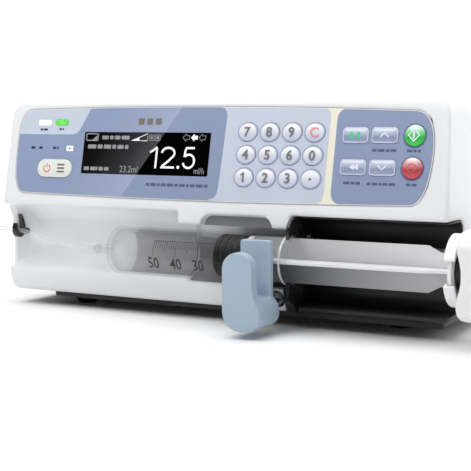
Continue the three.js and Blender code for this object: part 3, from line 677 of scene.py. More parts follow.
LINE_D = 3.0
LINE_ROUTE = (
    (-82, 0, 31.7), (-92, 0, 31.7), (-106, 0.6, 32.6), (-120, 1.8, 34.9),
    (-134, 3.2, 38), (-147, 4, 40), (-158, 4, 40.6), (-169, 3.8, 39.6),
    (-179, 3, 34), (-186, 3.4, 24), (-190, 3.6, 12), (-194, 3.4, 2),
    (-200, 1, -5.4), (-206, -5, -8.1), (-212, -9.6, -8.4), (-219.6, -11.2, -8.4),
)
LINE_TAIL = ((-252.4, 25.4, -3.4), (-249.2, 30.4, -5.6), (-243, 32, -6.5))
COIL_CENTRE = (-236, 6)
COIL_LOW_Z = -8.4
COIL_OUTER = 20.4
COIL_PITCH = 3.15
COIL_TURNS = 1.9
COIL_LAYERS = 4
COIL_START_DEG = -62.0
COIL_STEPS_A_TURN = 40
CLIMB_FROM = 0.86  # a layer climbs to the next one in this last part of its run


def smooth_path(points):
    """Catmull-Rom through the points, in eight steps from each to the next."""
    steps = 8
    out = []
    pts = [Vector(p) for p in points]
    ends = [pts[0] * 2 - pts[1]] + pts + [pts[-1] * 2 - pts[-2]]
    for i in range(1, len(ends) - 2):
        p0, p1, p2, p3 = ends[i - 1:i + 3]
        for k in range(steps):
            t = k / steps
            out.append(0.5 * (
                2 * p1 + (p2 - p0) * t + (2 * p0 - 5 * p1 + 4 * p2 - p3) * t * t
                + (3 * p1 - p0 - 3 * p2 + p3) * t ** 3
            ))
    out.append(pts[-1])
    return out


def coil_points():
    """Clockwise turns, winding in and out by layers."""
    points = []
    angle = COIL_START_DEG
    inner = COIL_OUTER - COIL_PITCH * COIL_TURNS
    for layer in range(COIL_LAYERS):
        steps = int(COIL_TURNS * COIL_STEPS_A_TURN)
        for i in range(steps):
            t = i / steps
            fade = t if layer % 2 == 0 else 1 - t
            r = COIL_OUTER + (inner - COIL_OUTER) * fade
            rise = max(0.0, (t - CLIMB_FROM) / (1 - CLIMB_FROM)) if layer < COIL_LAYERS - 1 else 0.0
            z = COIL_LOW_Z + COIL_PITCH * (layer + rise * rise * (3 - 2 * rise))
            a = math.radians(angle - 360 * COIL_TURNS * t)
            x, y = COIL_CENTRE
            points.append(Vector((x + r * math.cos(a), y + r * math.sin(a), z)))
        angle -= 360 * COIL_TURNS
    return points


def infusion_line():
    """The tube with its coil, its luer fitting and the hub on the nozzle."""
    turns = coil_points()
    path = smooth_path(LINE_ROUTE) + turns
    path += smooth_path([turns[-1], *LINE_TAIL])[1:]
    path = [TO_ROW @ p for p in path]
    curve = bpy.data.curves.new("line_tube", "CURVE")
    curve.dimensions = "3D"
    curve.bevel_depth = LINE_D / 2 * MM
    curve.bevel_resolution = 4
    curve.use_fill_caps = True
    spline = curve.splines.new("POLY")
    spline.points.add(len(path) - 1)
    for point, place in zip(spline.points, path):
        point.co = (*place, 1)
    curve.materials.append(line_clear)
    tube = put(curve)
    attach(tube, "root")
    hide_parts("infusion_line", "line_coil")
    x, y, z = LINE_TAIL[-1]
    profile = [
        (x - 1, 0), (x - 1, 2.6), (x + 1, 3.2), (x + 9, 3.4), (x + 9.4, 4.2), (x + 12.4, 4.2),
        (x + 12.8, 3.3), (x + 21, 3.0), (x + 21.6, 2.4), (x + 21.6, 0),
    ]
    end = piece(
        "line_fitting", turned_x(profile, y, z, 32), hub_clear,
        stands_for=["line_connector"],
    )
    profile = [
        (-79, 2.9), (-79, 3.4), (-80, 3.6), (-85, 3.3), (-87, 2.4), (-88, 1.65), (-82.4, 1.65),
        (-82.4, 2.9),
    ]
    hub = piece("line_hub", turned_x(profile, 0, AXIS_Z, 40), hub_clear)


infusion_line()

# ---------------------------------------------------------------- case


def cradle_section(cradle_r):
    """Section of the front shell, in (y, z), round a cradle of one radius."""
    return [
        (9, -0.6), (5.8, 0.6), (4.4, 3.2), (1.3, 12.3), (1.7, 14.3),
        *circle(0, AXIS_Z, cradle_r, cradle_r, 24, -80, 0),
        (cradle_r, 42), (cradle_r - 1.5, 49), (cradle_r - 4.5, 54), (cradle_r - 9, OVERHANG_Z - 0.6),
        (2.5, OVERHANG_Z), (0.4, OVERHANG_Z + 0.3), (-0.5, OVERHANG_Z + 1.6),
        (11.9, 120), (13.2, 124.4), (15.6, 127), (19.5, CASE_TOP), (SPLIT_Y, 118.5), (SPLIT_Y, -0.6),
    ]


FRONT_LEFT = CASE_LEFT - 2.2


def front_outline():
    """The case seen from the front, in (x, z)."""
    points = [(-150, -0.6)]
    points += quadratic((-150, -0.6), (-153.6, 0), (-153.6, 5))
    points += [(-153, 32)]
    points += quadratic((-153, 32), (-153.6, 46), (FRONT_LEFT, 58))
    points += [(FRONT_LEFT, 116)]
    points += quadratic((FRONT_LEFT, 116), (-155, 125.6), (-145, 126))
    points += quadratic((-145, 126), (0, CASE_TOP + 2), (140, 127), 24)
    points += quadratic((140, 127), (150.5, 126.5), (151.5, 116))
    points += [(CASE_RIGHT, 58), (CASE_RIGHT, 8)]
    points += quadratic((CASE_RIGHT, 8), (CASE_RIGHT, 0), (147, -0.6))
    return points


HOLLOW_FRONT = (
    (-147.4, -2), (-147.4, 34), (-152, 60), (-150.5, 116), (-142, 122.4),
    (0, 125), (140, 123.6), (148, 116), (152, 58), (152, -2),
)


def console_envelope():
    """The front's plan along the panel's slope, with its rounded ends."""
    plan = [(FRONT_LEFT, -130), (FRONT_LEFT, -6)]
    plan += quadratic((FRONT_LEFT, -6), (FRONT_LEFT, 3.4), (FRONT_LEFT + 8, 3.4))
    plan += [(CASE_RIGHT - 9, 3.4)]
    plan += quadratic((CASE_RIGHT - 9, 3.4), (CASE_RIGHT, 3.4), (CASE_RIGHT, -8))
    plan += [(CASE_RIGHT, -130)]
    # plan is (x, n); it is swept along s
    slope = PANEL @ Matrix(((1, 0, 0, 0), (0, 0, 1, 0), (0, 1, 0, 0), (0, 0, 0, 1)))
    return prism(plan, -80, 80, slope)


def overlay_outline(i):
    """The film's edge on the panel, moved in by i."""
    steps = 16
    start = (-140.5 + i, 60.2 - i)
    points = quadratic(start, (-10, 64.0 - i), (132 - i, 59.0 - i), 40)
    points += bezier((132 - i, 59.0 - i), (140 - i, 58.7 - i), (143.8 - i, 49), (143.6 - i, 36), steps)
    points += bezier((143.6 - i, 36), (143.4 - i, 22), (141 - i, 5.6 + i), (133 - i, 4.2 + i), steps)
    points += quadratic((133 - i, 4.2 + i), (0, 0.9 + i), (-141 + i, 3.8 + i), 40)
    points += bezier((-141 + i, 3.8 + i), (-147 + i, 4.2 + i), (-149.6 + i, 14), (-149.4 + i, 36), steps)
    points += bezier((-149.4 + i, 36), (-149.4 + i, 50), (-148 + i, 59.2 - i), start, steps)
    return points


VOXEL = 1.1
FINE_VOXEL = 0.55
CLAW_VOXEL = 0.4
HOOK_VOXEL = 0.35


def front_case():
    """Front shell: console, cradle, finger notch, and the recess of the pusher."""
    hook_wall = [(-158, 6.2), (-151, 6.2), (-149, 10), (-144.5, 13.6), (-138, 16.4), (-138, 20), (-158, 20)]
    boss = [(-0.4, 60), (-2.3, 51.2), (-1.4, 50), (5, 50), (8.5, 54), (9, 60)]
    whole = join(
        along_x(cradle_section(16), FRONT_LEFT, -13.9),
        along_x(cradle_section(18), -14, CASE_RIGHT),
        along_z(hook_wall, 10, OVERHANG_Z),
        along_x(boss, -18.6, 58.5),
    )
    finger_notch = along_y(rounded(-2, 46.4, 40, 56.8, 6.5), -10, 3.5)
    whole = cut(whole, finger_notch)
    whole = common(whole, along_y(front_outline(), -20, SPLIT_Y + 1), console_envelope())
    room = [
        (4.2, 61.2), (15.9, 119), (19, 124.8), (SPLIT_Y + 1, 115.6), (SPLIT_Y + 1, -1),
        (30.5, -1), (30.5, 57), (25, 61.2),
    ]
    pocket = [(-40, -5), (-40, 57.8), (POCKET_BACK - 4, 57.8), (POCKET_BACK, 54), (POCKET_BACK, -5)]
    behind_cradle = box_mesh(-147, POCKET_LEFT - 3, 20.8, 40, -1, 62)
    under_cradle = box_mesh(-143, POCKET_LEFT - 3, 9.5, 22, -1, 10.5)
    push_bar_slot = box_mesh(POCKET_LEFT - 5, POCKET_LEFT + 5, 20.6, 25.8, 20, 42)
    clamp_bore = cylinder_y(5.2, -5, 40, CLAMP_X, CLAMP_Z)
    film_seat = on_panel(overlay_outline(-0.3), -1.0, 3)
    key_opening = on_panel(rounded(-136, 141, 12, 55.5, 4), -20, 0)
    body = cut(
        whole,
        common(along_x(room, CASE_LEFT, CASE_RIGHT), along_y(HOLLOW_FRONT, 0, SPLIT_Y + 2)),
        behind_cradle,
        under_cradle,
        along_x(pocket, POCKET_LEFT, CASE_RIGHT + 5),
        push_bar_slot,
        clamp_bore,
        film_seat,
        key_opening,
    )
    mesh = softened(body, VOXEL)
    piece("case_front", mesh, case_white, stands_for=["front_case"], smooth=180)


def rear_section(i):
    """Section of the rear shell, in (y, z), moved in by i."""
    edge = SPLIT_Y - (3 if i else 1.2)
    return [
        (edge, -1 if i else 0), (edge, 118.3 - i),
        (104, 108.5 - i), (112 - i, 103 - i), (CASE_BACK - i, 95), (CASE_BACK - i, -1 if i else 5),
        (CASE_BACK - 4 - i, -1 if i else 0),
    ]


def rear_plan(i):
    """Plan of the rear shell, in (x, y), moved in by i."""
    back = CASE_BACK - i
    left = [(-153.4 + i, SPLIT_Y - 4), (-136 + i, back - 12)]
    left += quadratic((-136 + i, back - 12), (-132 + i, back), (-122 + i, back))
    return left + [(-x, y) for x, y in reversed(left)]


REAR_SCREWS = ((-118, 92), (118, 92), (-118, 14), (118, 14))
INLET_X, INLET_Z = -106, 28
SPEAKER_X, SPEAKER_Z = 78, 72


def rear_case():
    """Rear shell with its screw pockets, and the slotted plate over the speaker."""
    outer = common(along_x(rear_section(0), -155, 155), along_z(rear_plan(0), -1, 125))
    inner = common(along_x(rear_section(2.5), -155, 155), along_z(rear_plan(2.5), -2, 125))
    tools = [inner, box_mesh(INLET_X - 14.6, INLET_X + 14.6, 110, 120, INLET_Z - 10.6, INLET_Z + 10.6)]
    for x, z in REAR_SCREWS:
        tools.append(cylinder_y(4.2, CASE_BACK - 1.6, CASE_BACK + 4, x, z))
    tools.append(box_mesh(SPEAKER_X - 18, SPEAKER_X + 18, 110, 120, SPEAKER_Z - 17, SPEAKER_Z + 17))
    mesh = softened(cut(outer, *tools), VOXEL)
    piece("case_rear", mesh, case_white, stands_for=["rear_case"], smooth=180)
    edge = rounded(SPEAKER_X - 18.4, SPEAKER_X + 18.4, SPEAKER_Z - 17.4, SPEAKER_Z + 17.4, 2)
    plate = along_y(edge, CASE_BACK - 2.2, CASE_BACK - 0.4)
    slots = []
    for k in range(-3, 4):
        z = SPEAKER_Z + 4 * k
        slots.append(along_y(rounded(SPEAKER_X - 14, SPEAKER_X + 14, z - 0.9, z + 0.9, 0.85), 110, 120))
    piece("speaker_grille", bevelled(cut(plate, *slots), 0.25, 2), case_white)


def rear_screws():
    """Cross-recessed heads, sunk in the back of the case."""
    for k, (x, z) in enumerate(REAR_SCREWS):
        head = cylinder_y(3.5, CASE_BACK - 1.9, CASE_BACK - 0.3, x, z, 40)
        slots = (
            box_mesh(x - 2.2, x + 2.2, CASE_BACK - 1.1, CASE_BACK + 1, z - 0.45, z + 0.45),
            box_mesh(x - 0.45, x + 0.45, CASE_BACK - 1.1, CASE_BACK + 1, z - 2.2, z + 2.2),
        )
        screw = bevelled(cut(head, *slots), 0.15, 2)
        piece(f"rear_screw_{k + 1}", screw, polished_steel)


def recess():
    """Lining of the pusher's recess."""
    outer = [
        (2.2, 57.5), (POCKET_BACK - 4.2, 57.5), (POCKET_BACK - 0.3, 53.8), (POCKET_BACK - 0.3, 0.3),
        (6, 0.3), (2.4, 2.2), (2.4, 4), (18, 4.6), *circle(19.3, 11.1, 6.5, 6.5, 8, -78, 0),
        *circle(20.8, 51.7, 5, 5, 8, 0, 84), (2.2, 56.7),
    ]
    trim = common(along_x(outer, POCKET_LEFT + 0.3, CASE_RIGHT - 0.4), along_y(front_outline(), -20, 60))
    trim = cut(trim, box_mesh(58.5, 63.2, -12, 12, -2, 60))
    mesh = bevelled(trim, 0.25, 2)
    piece("recess_lining", mesh, recess_black, stands_for=["recess_liner"])


def recess_end():
    """Black wall at the recess's left end, open round the barrel and the push bar's seal."""
    wall = [
        (2.6, 57.2), (POCKET_BACK - 4.4, 57.2), (POCKET_BACK - 0.5, 53.6), (POCKET_BACK - 0.5, 0.6),
        (6, 0.6), (2.8, 3),
    ]
    mesh = cut(along_x(wall, POCKET_LEFT + 0.05, POCKET_LEFT + 0.6), cylinder_x(16, 40, 80, 0, AXIS_Z),
               box_mesh(40, 80, 19, 30, 17, 45))
    piece("recess_end", mesh, recess_black)


def bottom_and_feet():
    """Base plate with the tray under it, black as painted shade that deepens the tray's real shadow under
    the case, and four rubber feet.
    """
    plan = [(-145, 23), (-145, 60), (-131, 100), (-122, 110.5), (122, 110.5), (131, 100), (145, 60),
            (145, 33), (54, 33), (54, 23)]
    plate = bevelled(along_z(plan, 0.3, 2.5), 0.4, 2)
    shadow_tray = bevelled(along_z(rounded(-126, 148, 12, 108, 6), -4, -0.1), 0.4, 2)
    middle = box_mesh(-110, 40, 36, 60, -0.2, 0.4)
    # Plate and tray are black: painted shade under the case.
    piece(
        "base_shadow_tray", merged(plate, shadow_tray, middle), recess_black, stands_for=["bottom_cover"],
    )
    feet = (("foot_front_left", -112, 33), ("foot_front_right", 112, 43),
            ("foot_back_left", -112, 100), ("foot_back_right", 112, 100))
    profile = [
        (-4, 0), (-4, 8), (-4.6, 7.6), (-7.2, 7.2), (-9.4, 6.6), (-10, 5.6), (-10, 3),
        (-9.2, 2.4), (-9.2, 0),
    ]
    for name, x, y in feet:
        foot = turned(profile, Matrix.Translation((x, y, 0)), 48)
        piece(f"rubber_{name}", foot, foot_rubber, stands_for=[name])


def mains_inlet():
    """Inlet with its flange and three pins."""
    body = box_mesh(INLET_X - 14, INLET_X + 14, 94, CASE_BACK + 0.2, INLET_Z - 10, INLET_Z + 10)
    edge = rounded(INLET_X - 16.5, INLET_X + 16.5, INLET_Z - 12.5, INLET_Z + 12.5, 3)
    flange = along_y(edge, CASE_BACK + 0.05, CASE_BACK + 1)
    corner = 4
    x0, x1, z0, z1 = INLET_X - 11, INLET_X + 11, INLET_Z - 7, INLET_Z + 7
    mouth = [(x0, z0), (x1, z0), (x1, z1 - corner), (x1 - corner, z1), (x0 + corner, z1), (x0, z1 - corner)]
    mesh = bevelled(cut(join(body, flange), along_y(mouth, 100, CASE_BACK + 3)), 0.3, 2)
    piece("inlet_body", mesh, recess_black, stands_for=["mains_inlet"])
    for k, (dx, dz) in enumerate(((-7, -1.5), (0, 2), (7, -1.5))):
        x, z = INLET_X + dx, INLET_Z + dz
        pin = bevelled(box_mesh(x - 1, x + 1, 99.5, 113, z - 2, z + 2), 0.3, 2)
        piece(f"inlet_pin_{k + 1}", pin, polished_steel)


def cradle_painted_shade():
    """Thin grey sheets behind the barrel: painted shade of the cradle, deepening to the right."""
    n = Nodes("cradle_painted_shade")
    greys = ((0.0, 206), (0.14, 178), (0.38, 160), (0.4, 142), (0.55, 112), (0.85, 62), (1.0, 50))
    stops = [(place, srgb(grey, grey, grey + 2)) for place, grey in greys]
    n.colour(n.ramp(n.gradient(row(-60, 0, 0), row(58, 0, 0)), stops))
    n.roughness(0.45, 0.6, 80)
    wide_shade_sheet = along_x(ring_part(AXIS_Z, 17.95, 17.2, 40, -74, 28), -13.4, 58.2)
    left_shade_sheet = along_x(ring_part(AXIS_Z, 15.97, 15.5, 40, -66, 40), -59, -13.9)
    piece("cradle_painted_shade", merged(wide_shade_sheet, left_shade_sheet), n.material)


def ear_slot_trim():
    """Black edging beside the slot that the barrel's ears stand in, as a thin band in (y, z)."""
    band = [
        (8.6, -1.0), (5.4, 0.2), (4.1, 3.0), (0.9, 12.2), (1.2, 14.6),
        *circle(0, AXIS_Z, 17.2, 17.2, 30, -80, 34), (15.2, 48.6), (12.6, 53.2), (8.4, 56.4),
        (9, 57), (13.6, 54), (16.5, 49), *circle(0, AXIS_Z, 18.1, 18.1, 30, 34, -80),
        (2.0, 13.8), (1.9, 12.3), (4.9, 3.4), (6.2, 1.2), (8.6, 0.2),
    ]
    mesh = bevelled(along_x(band, 53.5, 60.2), 0.12, 2)
    piece("ear_slot_trim", mesh, recess_black)


def notch_shade_sheet():
    """Grey sheet at the back of the finger notch: painted shade of the white recess."""
    back = common(along_y(rounded(-1.6, 46, 44, 56.5, 6), 2.9, 3.6), box_mesh(-3, 48, 2, 5, 49.9, 58))
    piece("notch_shade_sheet", bevelled(back, 0.15, 2), notch_shade_grey)


front_case()
cradle_painted_shade()
ear_slot_trim()
notch_shade_sheet()
rear_case()
rear_screws()
recess()
recess_end()
bottom_and_feet()
mains_inlet()

# ---------------------------------------------------------------- control panel

DISPLAY = (-95.0, 0.0, 17.8, 45.2)
KEY_PITCH_X, KEY_PITCH_S = 14.79, 13.86
KEY_LEFT_X, KEY_TOP_S = 25.4, 45.8
KEY_W, KEY_H = 13.5, 11.8
COMMAND_W, COMMAND_H, COMMAND_CORNER = 16.0, 9.2, 2.2
ROUND_D = 12.3
POWER = (-130.0, -102.6, 14.7, 26.7)
ALARM_LAMP = (-133.3, -123.1, 49.3, 53.1)
RUN_LAMP = (-119.3, -109.1, 49.6, 53.4)
NUMBER_NAMES = (("7", "8", "9", "clear"), ("4", "5", "6", "0"), ("1", "2", "3", "point"))
COMMAND_KEYS = (("key_alarm_mute", 95.9, 44.3), ("key_up", 113.8, 44.4),
                ("key_bolus", 95.9, 25.6), ("key_down", 113.8, 25.6))
ROUND_KEYS = (("key_start", 131.7, 44.3), ("key_stop", 131.7, 25.6))


def number_places():
    """Each number key's label and its middle on the panel."""
    for r, names in enumerate(NUMBER_NAMES):
        for c, name in enumerate(names):
            yield name, KEY_LEFT_X + KEY_PITCH_X * c, KEY_TOP_S - KEY_PITCH_S * r


def rect_outline(x0, x1, s0, s1, r):
    """Outline of a rounded rectangle, as a function of its inset."""
    def outline(inset):
        corner = max(0.25, r - inset)
        return rounded(x0 + inset, x1 - inset, s0 + inset, s1 - inset, corner, 8)
    return outline


def oval_outline(x, s, w, h):
    """Outline of an oval, as a function of its inset."""
    def outline(inset):
        return circle(x, s, w / 2 - inset, h / 2 - inset, 56)
    return outline


def command_outline(x, s):
    """Outline of a command key, as a function of its inset."""
    w, h = COMMAND_W / 2, COMMAND_H / 2
    return rect_outline(x - w, x + w, s - h, s + h, COMMAND_CORNER)


def panel_holes(grow):
    """Everything that comes up through the film."""
    tools = []
    for _, x, s in number_places():
        tools.append(on_panel(oval_outline(x, s, KEY_W, KEY_H)(-grow), -3, 3))
    for _, x, s in COMMAND_KEYS:
        tools.append(on_panel(command_outline(x, s)(-grow), -3, 3))
    for _, x, s in ROUND_KEYS:
        tools.append(on_panel(oval_outline(x, s, ROUND_D, ROUND_D)(-grow), -3, 3))
    x0, x1, s0, s1 = POWER
    tools.append(on_panel(rounded(x0 - grow, x1 + grow, s0 - grow, s1 + grow, 5.9, 8), -3, 3))
    for x0, x1, s0, s1 in (ALARM_LAMP, RUN_LAMP):
        tools.append(on_panel(rounded(x0 - grow, x1 + grow, s0 - grow, s1 + grow, 1.6, 5), -3, 3))
    x0, x1, s0, s1 = DISPLAY
    tools.append(on_panel(rounded(x0, x1, s0, s1, 0.6, 3), -3, 3))
    return merged(*tools)


# The diagonal light band is a painted reflection on the film and on the display glass.
GLARE_RIGHT = ((-23.0, 60.7), (-61.6, 3.9))
GLARE_WIDTH = 46.0


def glare_run():
    """Two points across the panel's diagonal band of painted reflection, for a colour ramp.

    The ramp starts GLARE_WIDTH / 5 to the right of the band's sharp edge, and ends GLARE_WIDTH to the left.
    """
    (x0, s0), (x1, s1) = GLARE_RIGHT
    size = math.hypot(x1 - x0, s1 - s0)
    left = ((s1 - s0) / size, -(x1 - x0) / size)
    start = TO_ROW @ PANEL @ Vector((x0, s0, 0))
    end = TO_ROW @ PANEL @ Vector((x0 + left[0] * GLARE_WIDTH, s0 + left[1] * GLARE_WIDTH, 0))
    return start - (end - start) * 0.2, end


def painted_reflection_film(name, plain, light, tail):
    """Film with a painted reflection: a diagonal light band, brightest at its right edge and fading to the
    left.
    """
    n = Nodes(name)
    middle = tuple((a + b) / 2 for a, b in zip(light, plain))
    band = n.ramp(n.gradient(*glare_run()), [
        (0.0, plain), (0.162, plain), (0.169, light), (0.52, middle), (0.95, tail),
    ])
    n.drifting(band, 30)
    n.roughness(0.31, 0.4, 90)
    n.coat(0.25, 0.1)
    return n.material


def screen_field():
    """Field round the screen and the power key. Fields run past the film, which trims them."""
    points = [(-152, 0), (-152, 43.2), (-148.6, 43.4), (-120, 43.3), (-106, 43.4)]
    points += bezier((-106, 43.4), (-101.5, 43.6), (-99.7, 45.2), (-98.8, 47.2), 10)
    points += [(-90.4, 64), (1.9, 64)]
    points += bezier((4.0, 61.2), (8.0, 61.0), (10.1, 59), (10.0, 55), 8)
    points += [(9.2, 30), (8.4, 12)]
    points += bezier((8.4, 12), (8.2, 6.8), (6.4, 4.2), (2.6, 4.0), 8)
    return points + [(2.5, 0)]


def lamp_field():
    """Light field of the two lamps, which follows the screen field's upper edge."""
    points = [(-152, 43.3), (-120, 43.4), (-106, 43.5)]
    points += bezier((-106, 43.5), (-101.5, 43.7), (-99.8, 45.3), (-98.9, 47.3), 10)
    return points + [(-90.5, 64), (-152, 64)]


def keypad_field():
    """Light field of the number keys."""
    points = [(-10, 0), (5.8, 0), (73.9, 0)]
    points += bezier((74, 3.7), (77.6, 3.9), (78.9, 6.4), (79, 11), 8)
    points += [(79.3, 54)]
    points += bezier((79.3, 54), (79.3, 58.4), (77.9, 59.9), (75, 60), 8)
    return points + [(74.9, 64), (-10, 64)]


def command_field():
    """Field of the command keys and the two round keys."""
    points = [(150, 0), (150, 66), (89.6, 66)]
    points += bezier((89.5, 60), (85.3, 59.6), (83.4, 57.4), (83.4, 53), 10)
    points += [(83.3, 11.5)]
    points += bezier((83.3, 11.5), (83.4, 6.8), (85.2, 4.2), (89.5, 4.0), 10)
    return points + [(89.6, 0)]


def control_film():
    """The film, its groove and its printed fields."""
    holes = panel_holes(0.25)
    base = cut(on_panel(overlay_outline(0), -0.7, 0), holes.copy())
    piece("film_base", base, film_white, stands_for=["control_overlay"])
    rim = stroke(overlay_outline(0.12), 0.3, -0.3, 0.04, closed=True)
    piece("film_groove", rim, groove_grey)
    inner = overlay_outline(0.7)
    # The screen field is blue with the painted reflection band across it.
    painted_reflection_blue = painted_reflection_film("film_blue_painted_reflection", BLUE, srgb(164, 175, 204), srgb(146, 161, 193))
    fields = (
        ("print_keypad", keypad_field(), film_light, 0.05),
        ("print_strip", [(60, 1), (98, 1), (98, 66), (60, 66)], film_cream, 0.03),
        ("print_lamps", lamp_field(), film_light, 0.05),
        ("print_screen", screen_field(), painted_reflection_blue, 0.08),
        ("print_command", command_field(), film_blue, 0.08),
    )
    for name, outline, material, thickness in fields:
        mesh = common(on_panel(outline, 0.0, thickness), on_panel(inner, -1, 1))
        piece(name, cut(mesh, holes.copy()), material)


def bar_text(name, x0, x1, s, height, material, k, n=0.085):
    """Short bars of uneven length in place of a word; k picks where their lengths start."""
    bars = []
    x = x0
    while x < x1:
        width = min(x1 - x, height * (1.1 + 0.35 * ((k * 7) % 5)))
        if width > 0.3:
            bar = rounded(x, x + width, s - height / 2, s + height / 2, height * 0.2, 3)
            bars.append(on_panel(bar, n, n + 0.03))
        x += width + height * 0.42
        k += 1
    piece(name, merged(*bars), material)


def figure(key):
    """The middle line of a 1, 2 or 5, in a frame one wide and one high."""
    if key == "1":
        return [(0.0, 0.76), (0.34, 0.84), (0.62, 0.93), (0.84, 1.03), (0.86, 0.98), (0.86, -0.06)]
    if key == "2":
        bow = circle(0.5, 0.72, 0.46, 0.28, 14, 175, -35)
        return bow + [(0.5, 0.28), (0.2, 0.1), (0.04, 0.0), (1.02, 0.0)]
    bowl = circle(0.5, 0.33, 0.48, 0.34, 18, 130, -165)
    return [(0.94, 1.0), (0.22, 1.0), (0.18, 0.9), (0.12, 0.55)] + bowl


SCREEN_TOP = 0.06  # print on the screen starts this far above the window


def display_window():
    """Black window, with the panel's diagonal band of painted reflection across it."""
    x0, x1, s0, s1 = DISPLAY
    glass = Nodes("display_glass")
    # The grey ramp on the glass is the painted reflection band, brightest at its sharp edge.
    glass.colour(glass.ramp(glass.gradient(*glare_run()), [
        (0.0, srgb(2, 2, 3)), (0.162, srgb(2, 2, 3)), (0.169, srgb(74, 74, 76)),
        (0.4, srgb(50, 50, 52)), (0.75, srgb(22, 22, 23)), (1.0, srgb(5, 5, 6)),
    ]))
    glass.roughness(0.12, 0.2, 60)
    glass.set("Specular IOR Level", 0.05)
    window = on_panel(rounded(x0 + 0.15, x1 - 0.15, s0 + 0.15, s1 - 0.15, 0.5, 3), -1.6, 0)
    piece("display_glass", window, glass.material, stands_for=["display_window"])


def display_readout():
    """Rate and volume in figures, and bars in place of words."""
    top = SCREEN_TOP
    rate = []
    for key, x, width in (("1", -43.2, 5.8), ("2", -34.8, 10.2), ("5", -18.6, 8.4)):
        points = [(x + a * width, 23.0 + b * 12.4) for a, b in figure(key)]
        rate.append(stroke(points, 1.35, top, top + 0.06))
    rate.append(on_panel(circle(-21.6, 23.2, 1.0, 1.0, 20), top, top + 0.06))
    piece("display_rate", merged(*rate), screen_lit)
    lettering("ml/h", 4.0, -2.6, 21.2, top, screen_dim, "display_unit", align="RIGHT", squeeze=0.8)
    lettering("23.2ml", 4.4, -51.4, 21.3, top, screen_dim, "display_volume", align="RIGHT", squeeze=0.86)
    bar_text("display_drug", -91.4, -60, 35.6, 2.6, screen_dim, 2, n=top)
    bar_text("display_volume_name", -93.0, -73.5, 21.2, 2.3, screen_dim, 1, n=top)
    bar_text("display_syringe", -81, -59.5, 41.6, 2.4, screen_dim, 4, n=top)


def display_icons():
    """Battery, pressure wedge, two small boxes and three arrows along the screen's top."""
    top = SCREEN_TOP
    x0, x1, s0, s1 = -93.2, -84.2, 39.6, 44.0
    battery = merged(
        stroke(rounded(x0, x1, s0, s1, 0.4, 2), 0.7, top, top + 0.05, closed=True),
        on_panel([(x1 - 4.4, s0 + 0.3), (x1 - 0.3, s0 + 0.3), (x1 - 0.3, s1 - 0.8)], top, top + 0.05),
    )
    piece("display_battery", battery, screen_dim)
    x0, x1, s0, s1 = -58.2, -46.2, 39.7, 44.2
    wedge = merged(
        stroke([(x0, s0), (x1, s0), (x1, s1)], 0.5, top, top + 0.05, closed=True),
        on_panel([(x0, s0), (x0 + 6, s0), (x0 + 6, s0 + 2.4)], top, top + 0.06),
    )
    piece("display_wedge", wedge, screen_lit)
    for k, x in enumerate((-43.2, -38.6)):
        icon = merged(
            stroke(rounded(x - 1.8, x + 1.8, 39.9, 43.5, 0.4, 2), 0.45, top, top + 0.05, closed=True),
            on_panel(rounded(x - 0.8, x + 0.8, 40.8, 42.6, 0.2, 2), top, top + 0.05),
        )
        piece(f"display_icon_{k + 1}", icon, screen_dim)
    for k, x in enumerate((-17.4, -11.5, -5.8)):
        arrow = [
            (x - 2.7, 42.0), (x - 0.2, 44.4), (x - 0.2, 43.2), (x + 2.2, 43.2), (x + 2.2, 40.8),
            (x - 0.2, 40.8), (x - 0.2, 39.6),
        ]
        if k == 1:
            piece("display_arrow_run", on_panel(arrow, top, top + 0.05), screen_lit)
        else:
            open_arrow = stroke(arrow, 0.35, top, top + 0.05, closed=True)
            piece(f"display_arrow_{k + 1}", open_arrow, screen_dim)


def lamps_and_labels():
    """Lamps, and bars in place of the words printed on the film."""
    for name, node, place, material, slot in (
        ("lamp_alarm", "alarm_lamp", ALARM_LAMP, lamp_white, "lamp_white"),
        ("lamp_run", "run_lamp", RUN_LAMP, lamp_green, "lamp_green"),
    ):
        x0, x1, s0, s1 = place
        levels = [(0, -3.9), (0, 0.2), (0.25, 0.42), (0.6, 0.5)]
        mesh = looped_cap(rect_outline(x0, x1, s0, s1, 1.3), levels)
        piece(name, mesh, material, stands_for=[node])
    square = on_panel(rounded(-108.4, -103.1, 32.3, 35.8, 0.5, 3), 0.09, 0.3)
    piece("mains_lamp", square, lamp_white)
    hole = on_panel(rounded(-106.6, -104.9, 33.3, 34.8, 0.3, 2), 0.29, 0.34)
    piece("mains_lamp_core", hole, film_blue)
    labels = (
        ("label_alarm", -131.6, -125.2, 46.6, 1.3, ink_navy, 1, 0.055),
        ("label_run", -116.0, -112.4, 46.9, 1.3, ink_navy, 3, 0.055),
        ("label_battery", -137.6, -134.2, 34.3, 1.7, ink_navy, 2),
        ("label_mains", -131.0, -128.2, 34.3, 1.7, ink_navy, 4),
        ("label_mode", -119.6, -114.9, 34.3, 1.5, ink_navy, 1),
    )
    for label in labels:
        bar_text(*label)
    maker = [on_panel(rounded(x, x + 4.4, 50.0, 54.2, 0.5, 3), 0.085, 0.115) for x in (-54, -47.6, -41.2)]
    piece("maker_bars", merged(*maker), ink_grey)
    captions = (
        ("model_bars", -44.0, 1.4, 11.9, 1.9, ink_soft, 3),
        ("caption_up", 106.6, 121.8, 35.6, 1.6, ink_soft, 1),
        ("caption_start", 127.6, 135.8, 35.5, 1.6, ink_soft, 4),
        ("caption_bolus", 90.6, 101.0, 16.4, 1.6, ink_soft, 2),
        ("caption_down", 105.2, 122.6, 16.2, 1.6, ink_soft, 3),
        ("caption_stop", 128.6, 135.0, 16.3, 1.6, ink_soft, 1),
    )
    for caption in captions:
        bar_text(*caption)


